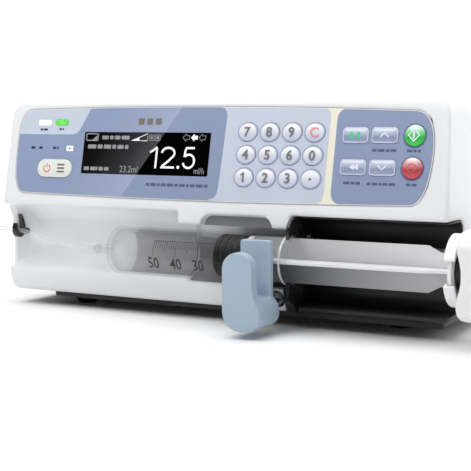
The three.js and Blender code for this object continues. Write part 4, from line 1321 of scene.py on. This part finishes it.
def painted_light_by_height(name, stops, low=0.16, high=0.24, coat=0.45):
    """A glossy finish coloured lighter up each piece, from its lower edge (0) to its upper one (1): painted
    light from above.
    """
    n = Nodes(name)
    split = n.new("ShaderNodeSeparateXYZ")
    n.link(n.new("ShaderNodeTexCoord").outputs["Generated"], split.inputs["Vector"])
    n.drifting(n.ramp(split.outputs["Z"], stops), 160)
    n.roughness(low, high, 150)
    n.coat(coat, 0.08)
    return n.material


RIM_WIDTH = 0.85
SKIRT_LOW = -2.4  # a key's body goes this deep under the panel


def key_outline(x, s, w, h, oval):
    """Outline of an oval key or of a command key."""
    return oval_outline(x, s, w, h) if oval else command_outline(x, s)


def key_stem(x, s):
    """Post under a key, down to its switch."""
    return on_panel(circle(x, s, 2.5, 2.5, 24), -5.8, SKIRT_LOW + 0.05)


def dome_lift(w, h, crown):
    """Height of the crown above its edge, at a place measured from the key's middle."""
    def lift(a, b):
        t = min(1.0, math.hypot(2 * a / w, 2 * b / h))
        return crown * (1 - t * t)
    return lift


def crowned(x, s, w, h, rise, inset=RIM_WIDTH, crown=0.55, oval=True):
    """A key's face inside its rim, with an evenly domed top."""
    reach = min(w, h) / 2
    levels = [(inset, -1.9), (inset, rise)]
    for k in range(1, 8):
        t = k / 8
        levels.append((inset + (reach - inset) * t, rise + crown * (1 - (1 - t) ** 2)))
    return looped_cap(key_outline(x, s, w, h, oval), levels)


def key_body(x, s, w, h, n1, width=RIM_WIDTH, oval=True):
    """The rim round a key's face, with its skirt through the film and its stem."""
    levels = [
        (0, SKIRT_LOW), (0, n1 - 0.25), (0.08, n1 - 0.08), (0.22, n1), (width - 0.2, n1),
        (width - 0.05, n1 - 0.06), (width, n1 - 0.2), (width + 0.01, n1 - 0.35),
    ]
    return merged(looped_cap(key_outline(x, s, w, h, oval), levels), key_stem(x, s))


# These colours lighten towards each piece's top as painted light; the near-white tops of the start and stop
# domes are painted highlights.
digit_ink = painted_light_by_height(
    "digit_ink", [(0.05, srgb(54, 54, 58)), (0.5, srgb(112, 112, 116)), (1.0, srgb(188, 188, 194))],
    0.3, 0.4, 0,
)
clear_ink = painted_light_by_height(
    "clear_ink", [(0.05, srgb(236, 98, 92)), (0.5, srgb(240, 150, 148)), (1.0, srgb(250, 214, 216))],
    0.3, 0.4, 0,
)
number_face = painted_light_by_height(
    "number_face",
    [(0.0, srgb(203, 208, 228)), (0.45, srgb(222, 226, 239)), (0.8, srgb(246, 247, 252))],
)
number_rim = painted_light_by_height("number_rim", [(0.0, srgb(172, 178, 210)), (1.0, srgb(174, 182, 212))])
command_face = painted_light_by_height(
    "command_face",
    [
        (0.0, srgb(152, 165, 194)), (0.44, srgb(150, 160, 190)), (0.56, srgb(176, 183, 207)),
        (1.0, srgb(216, 221, 236)),
    ],
)
command_rim = painted_light_by_height("command_rim", [(0.0, srgb(204, 212, 238)), (1.0, srgb(208, 214, 234))])
start_face = painted_light_by_height(
    "start_face",
    [
        (0.0, srgb(58, 208, 84)), (0.42, srgb(40, 190, 70)), (0.5, srgb(74, 200, 98)),
        (0.75, srgb(160, 226, 172)), (0.97, srgb(236, 250, 238)),
    ],
)
stop_face = painted_light_by_height(
    "stop_face",
    [
        (0.0, srgb(204, 62, 70)), (0.45, srgb(184, 66, 76)), (0.55, srgb(202, 110, 116)),
        (0.78, srgb(224, 168, 172)), (0.97, srgb(250, 238, 240)),
    ],
)
power_face = painted_light_by_height(
    "power_face",
    [(0.0, srgb(226, 230, 222)), (0.5, srgb(240, 242, 234)), (1.0, srgb(236, 240, 236))],
)
halo_blue = printed("halo_blue", srgb(104, 116, 158))


def number_keys():
    for label, x, s in number_places():
        node = f"key_{label}"
        rim = key_body(x, s, KEY_W, KEY_H, 0.62)
        piece(f"number_rim_{label}", rim, number_rim, node, stands_for=[node])
        piece(f"number_face_{label}", crowned(x, s, KEY_W, KEY_H, 0.55), number_face, node)
        lift = dome_lift(KEY_W - 2 * RIM_WIDTH, KEY_H - 2 * RIM_WIDTH, 0.55)
        if label == "point":
            dot = on_panel(circle(x, s - 0.2, 0.85, 0.85, 20), 1.0, 1.16)
            piece("print_point", dot, digit_ink, node)
            continue
        if label == "1":
            flag = [(x - 1.7, s + 1.5), (x - 1.7, s + 0.9), (x + 0.2, s + 1.7), (x + 0.2, s + 2.9)]
            piece("print_1_flag", on_panel(flag, 1.0, 1.46), digit_ink, node)
        text = "C" if label == "clear" else label
        ink = clear_ink if label == "clear" else digit_ink
        lettering(
            text, 6.1, x, s - 0.1, 0.6, ink, f"print_{label}", node, bold=0.16, thickness=0.36,
            dome=lift,
        )


def command_marks(node, x, s):
    """A command key's print: a chevron up or down, two arrow heads, or two bells."""
    low, high = 0.98, 1.14
    if node in ("key_up", "key_down"):
        way = 1 if node == "key_up" else -1
        chevron = [(x - 2.6, s - 1.2 * way), (x, s + 1.3 * way), (x + 2.6, s - 1.2 * way)]
        return [stroke(chevron, 0.75, low, high)]
    marks = []
    if node == "key_bolus":
        for middle in (x - 0.7, x + 1.9):
            head = [(middle - 1.5, s), (middle + 1.5, s - 1.9), (middle + 1.5, s + 1.9)]
            marks.append(on_panel(head, low, high))
        return marks
    for middle in (x - 2.4, x + 1.9):
        bell = [
            (middle - 1.5, s - 1.7), (middle + 1.5, s - 1.7), (middle + 0.9, s + 0.6),
            (middle - 0.9, s + 0.6),
        ]
        marks.append(on_panel(bell, low, high))
        marks.append(on_panel(circle(middle, s + 0.7, 0.95, 1.3, 16), low, high - 0.01))
    return marks


def command_keys():
    for node, x, s in COMMAND_KEYS:
        rim = key_body(x, s, COMMAND_W, COMMAND_H, 0.7, 0.75, oval=False)
        piece(f"{node}_rim", rim, command_rim, node, stands_for=[node])
        face = crowned(x, s, COMMAND_W, COMMAND_H, 0.6, 0.75, 0.5, oval=False)
        piece(f"{node}_face", face, command_face, node)
        ink = ink_green if node == "key_alarm_mute" else ink_white
        piece(f"{node}_print", merged(*command_marks(node, x, s)), ink, node)


def round_keys():
    for (node, x, s), material in zip(ROUND_KEYS, (start_face, stop_face)):
        reach = ROUND_D / 2
        halo = cut(
            on_panel(circle(x, s - 0.2, reach + 0.95, reach + 0.95, 56), 0.08, 0.12),
            on_panel(circle(x, s, reach + 0.25, reach + 0.25, 56), -1, 1),
        )
        piece(f"{node}_halo", halo, halo_blue)
        levels = [(0, SKIRT_LOW), (0, 0.25)]
        for k in range(1, 12):
            t = k / 12
            levels.append(
                (reach * (1 - math.cos(t * math.pi / 2)), 0.25 + 1.75 * math.sin(t * math.pi / 2))
            )
        mesh = merged(looped_cap(oval_outline(x, s, ROUND_D, ROUND_D), levels), key_stem(x, s))
        piece(f"{node}_dome", mesh, material, node, stands_for=[node])
    _, x, s = ROUND_KEYS[0]
    diamond = [(x, s + 3.5), (x + 3.2, s), (x, s - 3.5), (x - 3.2, s)]
    marks = merged(
        stroke(diamond, 0.8, 1.72, 1.98, closed=True),
        on_panel(rounded(x - 0.5, x + 0.5, s - 2.3, s + 2.3, 0.4, 3), 1.9, 2.06),
    )
    piece("key_start_print", marks, ink_white, "key_start")
    _, x, s = ROUND_KEYS[1]
    ring = stroke(circle(x, s, 2.4, 2.4, 40), 0.5, 1.8, 1.93, closed=True)
    piece("key_stop_print", ring, ink_rose, "key_stop")


def power_key():
    x0, x1, s0, s1 = POWER
    s = (s0 + s1) / 2
    outline = rect_outline(x0, x1, s0, s1, 5.9)
    levels = [(0, SKIRT_LOW), (0, 0.5), (0.12, 0.78), (0.4, 0.95), (1.0, 1.05), (2.4, 1.12), (4.4, 1.15)]
    mesh = merged(looped_cap(outline, levels), key_stem((x0 + x1) / 2, s))
    piece("power_cap", mesh, power_face, "key_power", stands_for=["key_power"])
    rim = stroke(outline(0.45), 0.3, 0.86, 1.0, closed=True)
    piece("power_rim", rim, film_white, "key_power")
    top = 1.1
    symbol = merged(
        stroke(circle(x0 + 8.0, s - 0.2, 2.5, 2.5, 30, 120, 420), 0.6, top, top + 0.1),
        on_panel(rounded(x0 + 7.7, x0 + 8.3, s + 0.2, s + 3.2, 0.2, 2), top, top + 0.1),
    )
    piece("power_symbol", symbol, ink_red, "key_power")
    lines = []
    for k in range(3):
        low = s - 2.9 + 2.3 * k
        lines.append(on_panel(rounded(x1 - 11.2, x1 - 5.2, low, low + 1.2, 0.4, 2), top, top + 0.1))
    piece("power_label", merged(*lines), ink_grey, "key_power")


control_film()
display_window()
display_readout()
display_icons()
lamps_and_labels()
number_keys()
command_keys()
round_keys()
power_key()

# ---------------------------------------------------------------- syringe

BARREL_R, BORE_R = 15.0, 13.7
BARREL_LEFT, FLANGE_X, FLANGE_T = -64.0, 60.5, 2.0
SEAL_TIP_X, SEAL_BACK_X = 6.3, 29.6
THUMB_X, THUMB_T, THUMB_R = 160.2, 2.5, 17.7
THUMB_Z = AXIS_Z + 0.6
SCALE_START_X, SCALE_STEP = 19.8, 15.87
SCALE_TOP_DEG = 146.0
SCALE_TENS = 5


def barrel():
    """The barrel with its ears, and the bead in front of them in near-white: a real bead carrying a painted
    highlight.
    """
    x0 = BARREL_LEFT
    flange_end = FLANGE_X + FLANGE_T
    shoulder = [
        (x0 + 2.6 - 2.6 * math.sin(math.radians(a)), BARREL_R - 2.6 + 2.6 * math.cos(math.radians(a)))
        for a in range(0, 80, 12)
    ]
    profile = [
        (flange_end, BORE_R), (flange_end, BARREL_R + 1.3), (flange_end - 0.3, BARREL_R + 1.6),
        (FLANGE_X + 0.3, BARREL_R + 1.6), (FLANGE_X, BARREL_R + 1.3), (FLANGE_X - 0.4, BARREL_R),
        *shoulder, (x0 - 3.6, 4.6), (x0 - 4.6, 3.7), (x0 - 6, 3.2), (x0 - 16, 2.7),
        (x0 - 16, 1.1), (x0 - 3, 1.1), (x0 + 0.6, 5), (x0 + 3, BORE_R - 1.2), (x0 + 4, BORE_R),
    ]
    wall = turned_x(profile, 0, AXIS_Z, 96)
    ears = cut(
        along_x(rounded(-10, 10, 5.6, 56.8, 8, 10), FLANGE_X, flange_end),
        cylinder_x(BARREL_R + 1.4, 50, 70, 0, AXIS_Z),
    )
    piece("barrel_tube", wall, barrel_clear, stands_for=["syringe_barrel"], smooth=50)
    piece("barrel_ears", bevelled(ears, 0.5, 3), ear_clear)
    rings = turned_x(
        [(57.4, BARREL_R - 0.02), (58.1, BARREL_R + 0.22), (58.8, BARREL_R - 0.02)], 0, AXIS_Z, 96,
    )
    piece("barrel_beads", rings, bead_painted_highlight)


def on_barrel(mesh, name, material):
    """Wraps a flat print, in (x, distance down from the scale's line, height), round the barrel."""
    for v in mesh.vertices:
        x, down, height = v.co
        a = math.radians(SCALE_TOP_DEG) + down / BARREL_R
        r = BARREL_R + 0.03 + height
        v.co = (x, r * math.cos(a), AXIS_Z + r * math.sin(a))
    return piece(name, mesh, material)


def flat_rect(x0, x1, y0, y1):
    """A thin plate, divided along its length down the barrel so that it can be wrapped."""
    bm = bmesh.new()
    rows = []
    count = max(1, int(y1 - y0)) + 1
    for k in range(count + 1):
        y = y0 + (y1 - y0) * k / count
        rows.append([bm.verts.new(c) for c in ((x0, y, 0), (x1, y, 0), (x1, y, 0.03), (x0, y, 0.03))])
    bridged(bm, rows, False)
    return closed_mesh(bm, "flat_rect")


def barrel_scale():
    """Ticks every millilitre hang from one line, and every tenth one has its number."""
    zero_x = SCALE_START_X + SCALE_STEP * 2
    marks = [flat_rect(zero_x - SCALE_STEP * SCALE_TENS - 0.3, zero_x + 0.3, -0.3, 0.0)]
    for k in range(10 * SCALE_TENS + 1):
        x = zero_x - k * SCALE_STEP / 10
        length = 9.5 if k % 10 == 0 else (6.8 if k % 5 == 0 else 4.8)
        marks.append(flat_rect(x - 0.16, x + 0.16, 0.0, length))
    on_barrel(merged(*marks), "barrel_ticks", ink_scale)
    for k in range(SCALE_TENS + 1):
        x = zero_x - k * SCALE_STEP
        mesh = text_mesh(str(10 * k), 10.2, 0.1, 0.03)
        xs = [v.co.x for v in mesh.vertices]
        ys = [v.co.y for v in mesh.vertices]
        middle = (min(xs) + max(xs)) / 2
        top = max(ys)
        for v in mesh.vertices:
            v.co = (x - 0.2 + (v.co.x - middle) * 0.8, 10.4 + (top - v.co.y), v.co.z + 0.02)
        on_barrel(mesh, f"barrel_number_{10 * k}", ink_scale)


def plunger():
    """Cross-shaped rod with its wheel, rim and thumb disc."""
    rib = 13.3
    start = SEAL_BACK_X + 0.1
    end = THUMB_X + 0.5
    edge = [(start, 5), (start + 3, rib), (144, rib), (151, 9.6), (end, 9.6)]
    # The lower web's material is darker as painted shade of the cross rib above it.
    for name, side, material in (("upper", 1, plunger_upper_painted_shade), ("lower", -1, plunger_lower_painted_shade)):
        half = [(start, 0.9), *edge, (end, 0.9)]
        web = along_y([(x, AXIS_Z + side * z) for x, z in half], -0.8, 0.8)
        piece(f"plunger_web_{name}", bevelled(web, 0.3, 2), material, "pusher")
    level = along_z([(x, -y) for x, y in edge] + edge[::-1], AXIS_Z - 0.9, AXIS_Z + 0.9)
    wheel = cylinder_x(13.2, start + 3, start + 4.6, 0, AXIS_Z, 72)
    cross = merged(bevelled(level, 0.3, 2), bevelled(wheel, 0.3, 2))
    piece(
        "plunger_cross", cross, plunger_milky, "pusher", stands_for=["syringe_plunger"],
    )
    x, r = THUMB_X, THUMB_R
    disc = [
        (x, 0), (x, r - 0.6), (x + 0.2, r - 0.2), (x + 0.6, r), (x + 1.9, r), (x + 2.3, r - 0.2),
        (x + THUMB_T, r - 0.6), (x + THUMB_T, 0),
    ]
    piece("plunger_disc", turned_x(disc, 0, THUMB_Z, 96), pusher_white, "pusher")
    left, right = start + 4.7, start + 5.9
    rim = turned_x(
        [(left, 12.0), (left, 13.2), (start + 5.4, 13.4), (right, 13.2), (right, 12.0)], 0, AXIS_Z,
        72,
    )
    piece("plunger_rim", rim, pusher_white, "pusher")


def seal():
    """Rubber seal with three ribs and a cone."""
    r = 13.62
    b = SEAL_BACK_X
    profile = [(b, 0), (b, r - 0.5), (b - 0.5, r)]
    for k in range(3):
        x = b - 2.4 - 4.3 * k
        profile += [
            (x, r), (x - 0.5, r - 0.35), (x - 0.8, r - 1.0), (x - 1.6, r - 1.0), (x - 1.9, r - 0.35),
            (x - 2.4, r),
        ]
    profile += [
        (b - 15.2, r), (b - 16.2, r - 0.5), (SEAL_TIP_X + 1.2, 1.6), (SEAL_TIP_X + 0.3, 0.6),
        (SEAL_TIP_X, 0),
    ]
    piece(
        "seal_rubber", turned_x(profile, 0, AXIS_Z, 96), seal_rubber, "pusher",
        stands_for=["plunger_seal"],
    )


barrel()
barrel_scale()
plunger()
seal()

# ---------------------------------------------------------------- clamp, hook and pusher

HOOK_X, HOOK_Y, HOOK_Z = -147.0, 4.0, 40.3


def clamp():
    """The blue hook that holds the barrel, and the rod that it turns on."""
    lower_edge = [(35.7, 5)] + quadratic((35.7, 5), (36.5, -5.4), (50, -6), 14)
    lower_edge += quadratic((50, -6), (55, -5.6), (58.4, -1.4), 10)
    paddle = lower_edge + quadratic((58.4, -1.4), (61, 3.4), (59, 8), 10)
    paddle += quadratic((59, 8), (55.4, 13.5), (54.9, 20), 12)
    paddle += [(54.9, 30)] + circle(45.3, 30, 9.6, 9.6, 32, 0, 180)
    web = lower_edge + quadratic((58.4, -1.4), (61, 3.4), (58, 9.5), 10)
    web += [(56, 12), (35.7, 12)]
    body = join(
        along_y(paddle, -42, -35),
        along_y(web, -36, -15.8),
        along_y(rounded(36, 55.5, 4, 45, 1.5), -20.5, -15.8),
    )
    mesh = softened(body, FINE_VOXEL, 5)
    piece(
        "clamp_lever", mesh, clamp_blue, "clamp", stands_for=["clamp_hook"],
        smooth=180,
    )
    rod = turned([(-54, 0), (-54, 4.5), (-53.7, 4.8), (-52.2, 4.8), (-51.9, 4), (14.2, 4), (14.4, 0)],
                 Matrix.Translation((CLAMP_X, 0, CLAMP_Z)) @ ALONG_Y, 48)
    piece(
        "clamp_rod_steel", rod, polished_steel, "clamp_rod", stands_for=["clamp_shaft"],
    )


def tube_hook():
    """Two open prongs on a stem, for the line."""
    u = [(HOOK_Y - 3.4, HOOK_Z + 5.2)]
    u += quadratic((HOOK_Y - 3.4, HOOK_Z + 5.2), (HOOK_Y - 5, HOOK_Z + 3), (HOOK_Y - 5, HOOK_Z))
    u += circle(HOOK_Y, HOOK_Z, 5, 5, 28, 180, 360)[1:]
    u += quadratic((HOOK_Y + 5, HOOK_Z), (HOOK_Y + 5, HOOK_Z + 7), (HOOK_Y + 1, HOOK_Z + 11))
    u += quadratic((HOOK_Y + 1, HOOK_Z + 11), (HOOK_Y + 2.6, HOOK_Z + 6), (HOOK_Y + 2.2, HOOK_Z))
    u += circle(HOOK_Y, HOOK_Z, 2.2, 2.2, 20, 360, 180)[1:]
    prongs = along_x(u, HOOK_X - 1.8, HOOK_X + 1.8)
    stem = cylinder_y(2.2, HOOK_Y + 3.2, 15.6, HOOK_X, HOOK_Z - 1.5, 32)
    foot = cylinder_y(4.2, 14.4, 16.4, HOOK_X, HOOK_Z - 1.5, 32)
    mesh = softened(join(prongs, stem, foot), HOOK_VOXEL)
    piece("line_hook", mesh, hook_black, stands_for=["tube_hook"], smooth=180)


HEAD_LEFT, HEAD_RIGHT, HEAD_LOW, HEAD_HIGH = 166.0, 192.0, 5.2, 56.3


def pusher_head():
    """The head with its waisted left face, and the pad that pushes the disc."""
    left, right, low, high = HEAD_LEFT, HEAD_RIGHT, HEAD_LOW, HEAD_HIGH
    face = [(left + 5, low)]
    face += quadratic((left + 5, low), (left, low), (left, 11))
    face += bezier((left, 11), (left, 20), (left + 3, 22), (left + 3, 31), 12)
    face += bezier((left + 3, 31), (left + 3, 40), (left, 42), (left, 51), 12)
    face += quadratic((left, 51), (left, high), (left + 6, high))
    face += [(right - 6, high)] + quadratic((right - 6, high), (right, high), (right, 51))
    face += [(right, 11)] + quadratic((right, 11), (right, low), (right - 6, low))
    body = common(along_y(face, -30, 60), along_x(rounded(-22, 25.4, low, high, 14, 12), 160, 200))
    body = cut(body, box_mesh(160, left + 14.4, 20.7, 40, 20.5, 41.5))
    mesh = softened(body, FINE_VOXEL * 1.4, 8)
    piece(
        "head_body", mesh, pusher_white, "pusher", stands_for=["pusher_head"],
        smooth=180,
    )
    pad = turned_x([(163.0, 0), (163.0, 12.6), (163.4, 13), (168.8, 13), (168.8, 0)], 0, THUMB_Z, 64)
    piece("head_pad", pad, recess_black, "pusher")


def claw(name, node, body, start, end):
    """One of the two claws that hold the thumb disc."""
    ring = along_x(ring_part(THUMB_Z, 20.6, 18.4, 28, start, end), 158.6, 165)
    lip = along_x(ring_part(THUMB_Z, 20.6, 16.2, 28, start, end), 158.6, THUMB_X - 0.5)
    mesh = softened(join(ring, lip), CLAW_VOXEL)
    piece(name, mesh, pusher_white, body, stands_for=[node], smooth=180)


def clutch_lever():
    """Grooved lever that frees the nut."""
    side = [(193.2, 9), (194.8, 7.4), (196.6, 8.4), (204, 49), (202.6, 51.6), (200.4, 50.8)]
    body = along_y(side, -16, 20)
    grooves = []
    for k in range(5):
        z = 22 + 4.6 * k
        x = 196.6 + (z - 8.4) * (204 - 196.6) / (49 - 8.4)
        grooves.append(cylinder_y(0.9, -12, 16, x + 0.35, z, 20))
    mesh = softened(cut(body, *grooves), FINE_VOXEL, 3)
    piece(
        "release_lever", mesh, clamp_blue, "lever", stands_for=["clutch_lever"],
        smooth=180,
    )


clamp()
tube_hook()
pusher_head()
claw("claw_top", "claw_upper", "upper_claw", 95, 160)
claw("claw_bottom", "claw_lower", "lower_claw", 200, 265)
clutch_lever()

# ---------------------------------------------------------------- inside

SCREW_Y, DRIVE_Z = 66.0, 30.0
SCREW_LEFT, THREAD_RIGHT, SCREW_RIGHT = -74, 60, 74
SCREW_PITCH = 4.0


def lead_screw():
    """Round thread, cut as a wave along the screw's length."""
    profile = [(SCREW_LEFT, 0)]
    run = THREAD_RIGHT - SCREW_LEFT
    steps = int(run / SCREW_PITCH * 6)
    for k in range(steps + 1):
        x = SCREW_LEFT + run * k / steps
        profile.append((x, 3.6 + 0.38 * math.cos(2 * math.pi * x / SCREW_PITCH)))
    profile += [(THREAD_RIGHT, 3.9), (SCREW_RIGHT, 3.9), (SCREW_RIGHT, 0)]
    piece("thread_rod", turned_x(profile, SCREW_Y, DRIVE_Z, 32), polished_steel, "screw",
          stands_for=["lead_screw"], smooth=50)


lead_screw()
for node in ("drive_chassis", "carriage", "pusher_arm"):
    look(node, machined_alloy)
look("guide_rod", polished_steel)
for node in ("screw_gear", "motor_pinion", "half_nut"):
    look(node, gear_brass)
for node in ("keypad_board", "main_board", "power_board"):
    look(node, board_green)
for node in ("stepper_motor", "battery_pack", "display_module"):
    look(node, motor_black)
look("arm_seal", seal_rubber)

# ---------------------------------------------------------------- floor, light and view


def matte_white(name, level):
    """Nodes of a matte white that can glow."""
    n = Nodes(name)
    n.set("Base Color", (level, level, level, 1))
    n.set("Roughness", 0.9)
    n.set("Specular IOR Level", 0.0)
    n.set("Emission Color", (1, 1, 1, 1))
    return n


def soft_light(name, place, aim, width, height, power):
    """A rectangular lamp that is aimed at a place."""
    data = bpy.data.lights.new(name, "AREA")
    data.shape = "RECTANGLE"
    data.size = width
    data.size_y = height
    data.energy = power
    lamp = bpy.data.objects.new(name, data)
    lamp.location = row(*place)
    direction = row(*aim) - lamp.location
    lamp.rotation_euler = direction.to_track_quat("-Z", "Y").to_euler()
    bpy.context.scene.collection.objects.link(lamp)
    return lamp


def floor_finish():
    """White, with a glow that comes in away from the pump, as a lit cyclorama has."""
    n = matte_white("floor_white", 0.93)
    distance = n.new("ShaderNodeVectorMath")
    distance.operation = "LENGTH"
    n.link(n.place(), distance.inputs[0])
    glow = n.mapped(distance.outputs["Value"], 0.3, 1.6, 0.0, 0.75)
    n.link(glow, n.shader.inputs["Emission Strength"])
    return n.material


def sheet(name, corners, material):
    """One flat face through four corners."""
    mesh = bpy.data.meshes.new(name)
    mesh.from_pydata([tuple(row(*corner)) for corner in corners], [], [(0, 1, 2, 3)])
    mesh.materials.append(material)
    return put(mesh)


def studio():
    """Floor, backdrop, three lights and a dim white world."""
    edge = 40000
    ground = -FOOT_HEIGHT
    floor = sheet("floor", (
        (-edge, -edge, ground), (edge, -edge, ground), (edge, edge, ground), (-edge, edge, ground),
    ), floor_finish())
    reach = 6000
    back = top = reach / 2
    glow = matte_white("backdrop_white", 0.9)
    glow.set("Emission Strength", 0.9)
    wall = sheet("backdrop", (
        (-reach, back, ground), (reach, back, ground), (reach, back, top), (-reach, back, top),
    ), glow.material)
    lights = [
        soft_light("light_top", (0, 60, 900), (0, 40, 40), 1.1, 0.8, 7.6),
        soft_light("light_front", (-250, -700, 1000), (0, 0, 50), 0.9, 0.6, 6.0),
        soft_light("light_side", (1100, -100, 350), (100, 40, 60), 0.7, 0.6, 1.2),
    ]
    world = bpy.data.worlds.new("studio")
    world.use_nodes = True
    background = world.node_tree.nodes["Background"]
    background.inputs["Color"].default_value = (1, 1, 1, 1)
    background.inputs["Strength"].default_value = 0.17
    bpy.context.scene.world = world


studio()
bpy.context.scene.view_settings.view_transform = "Standard"
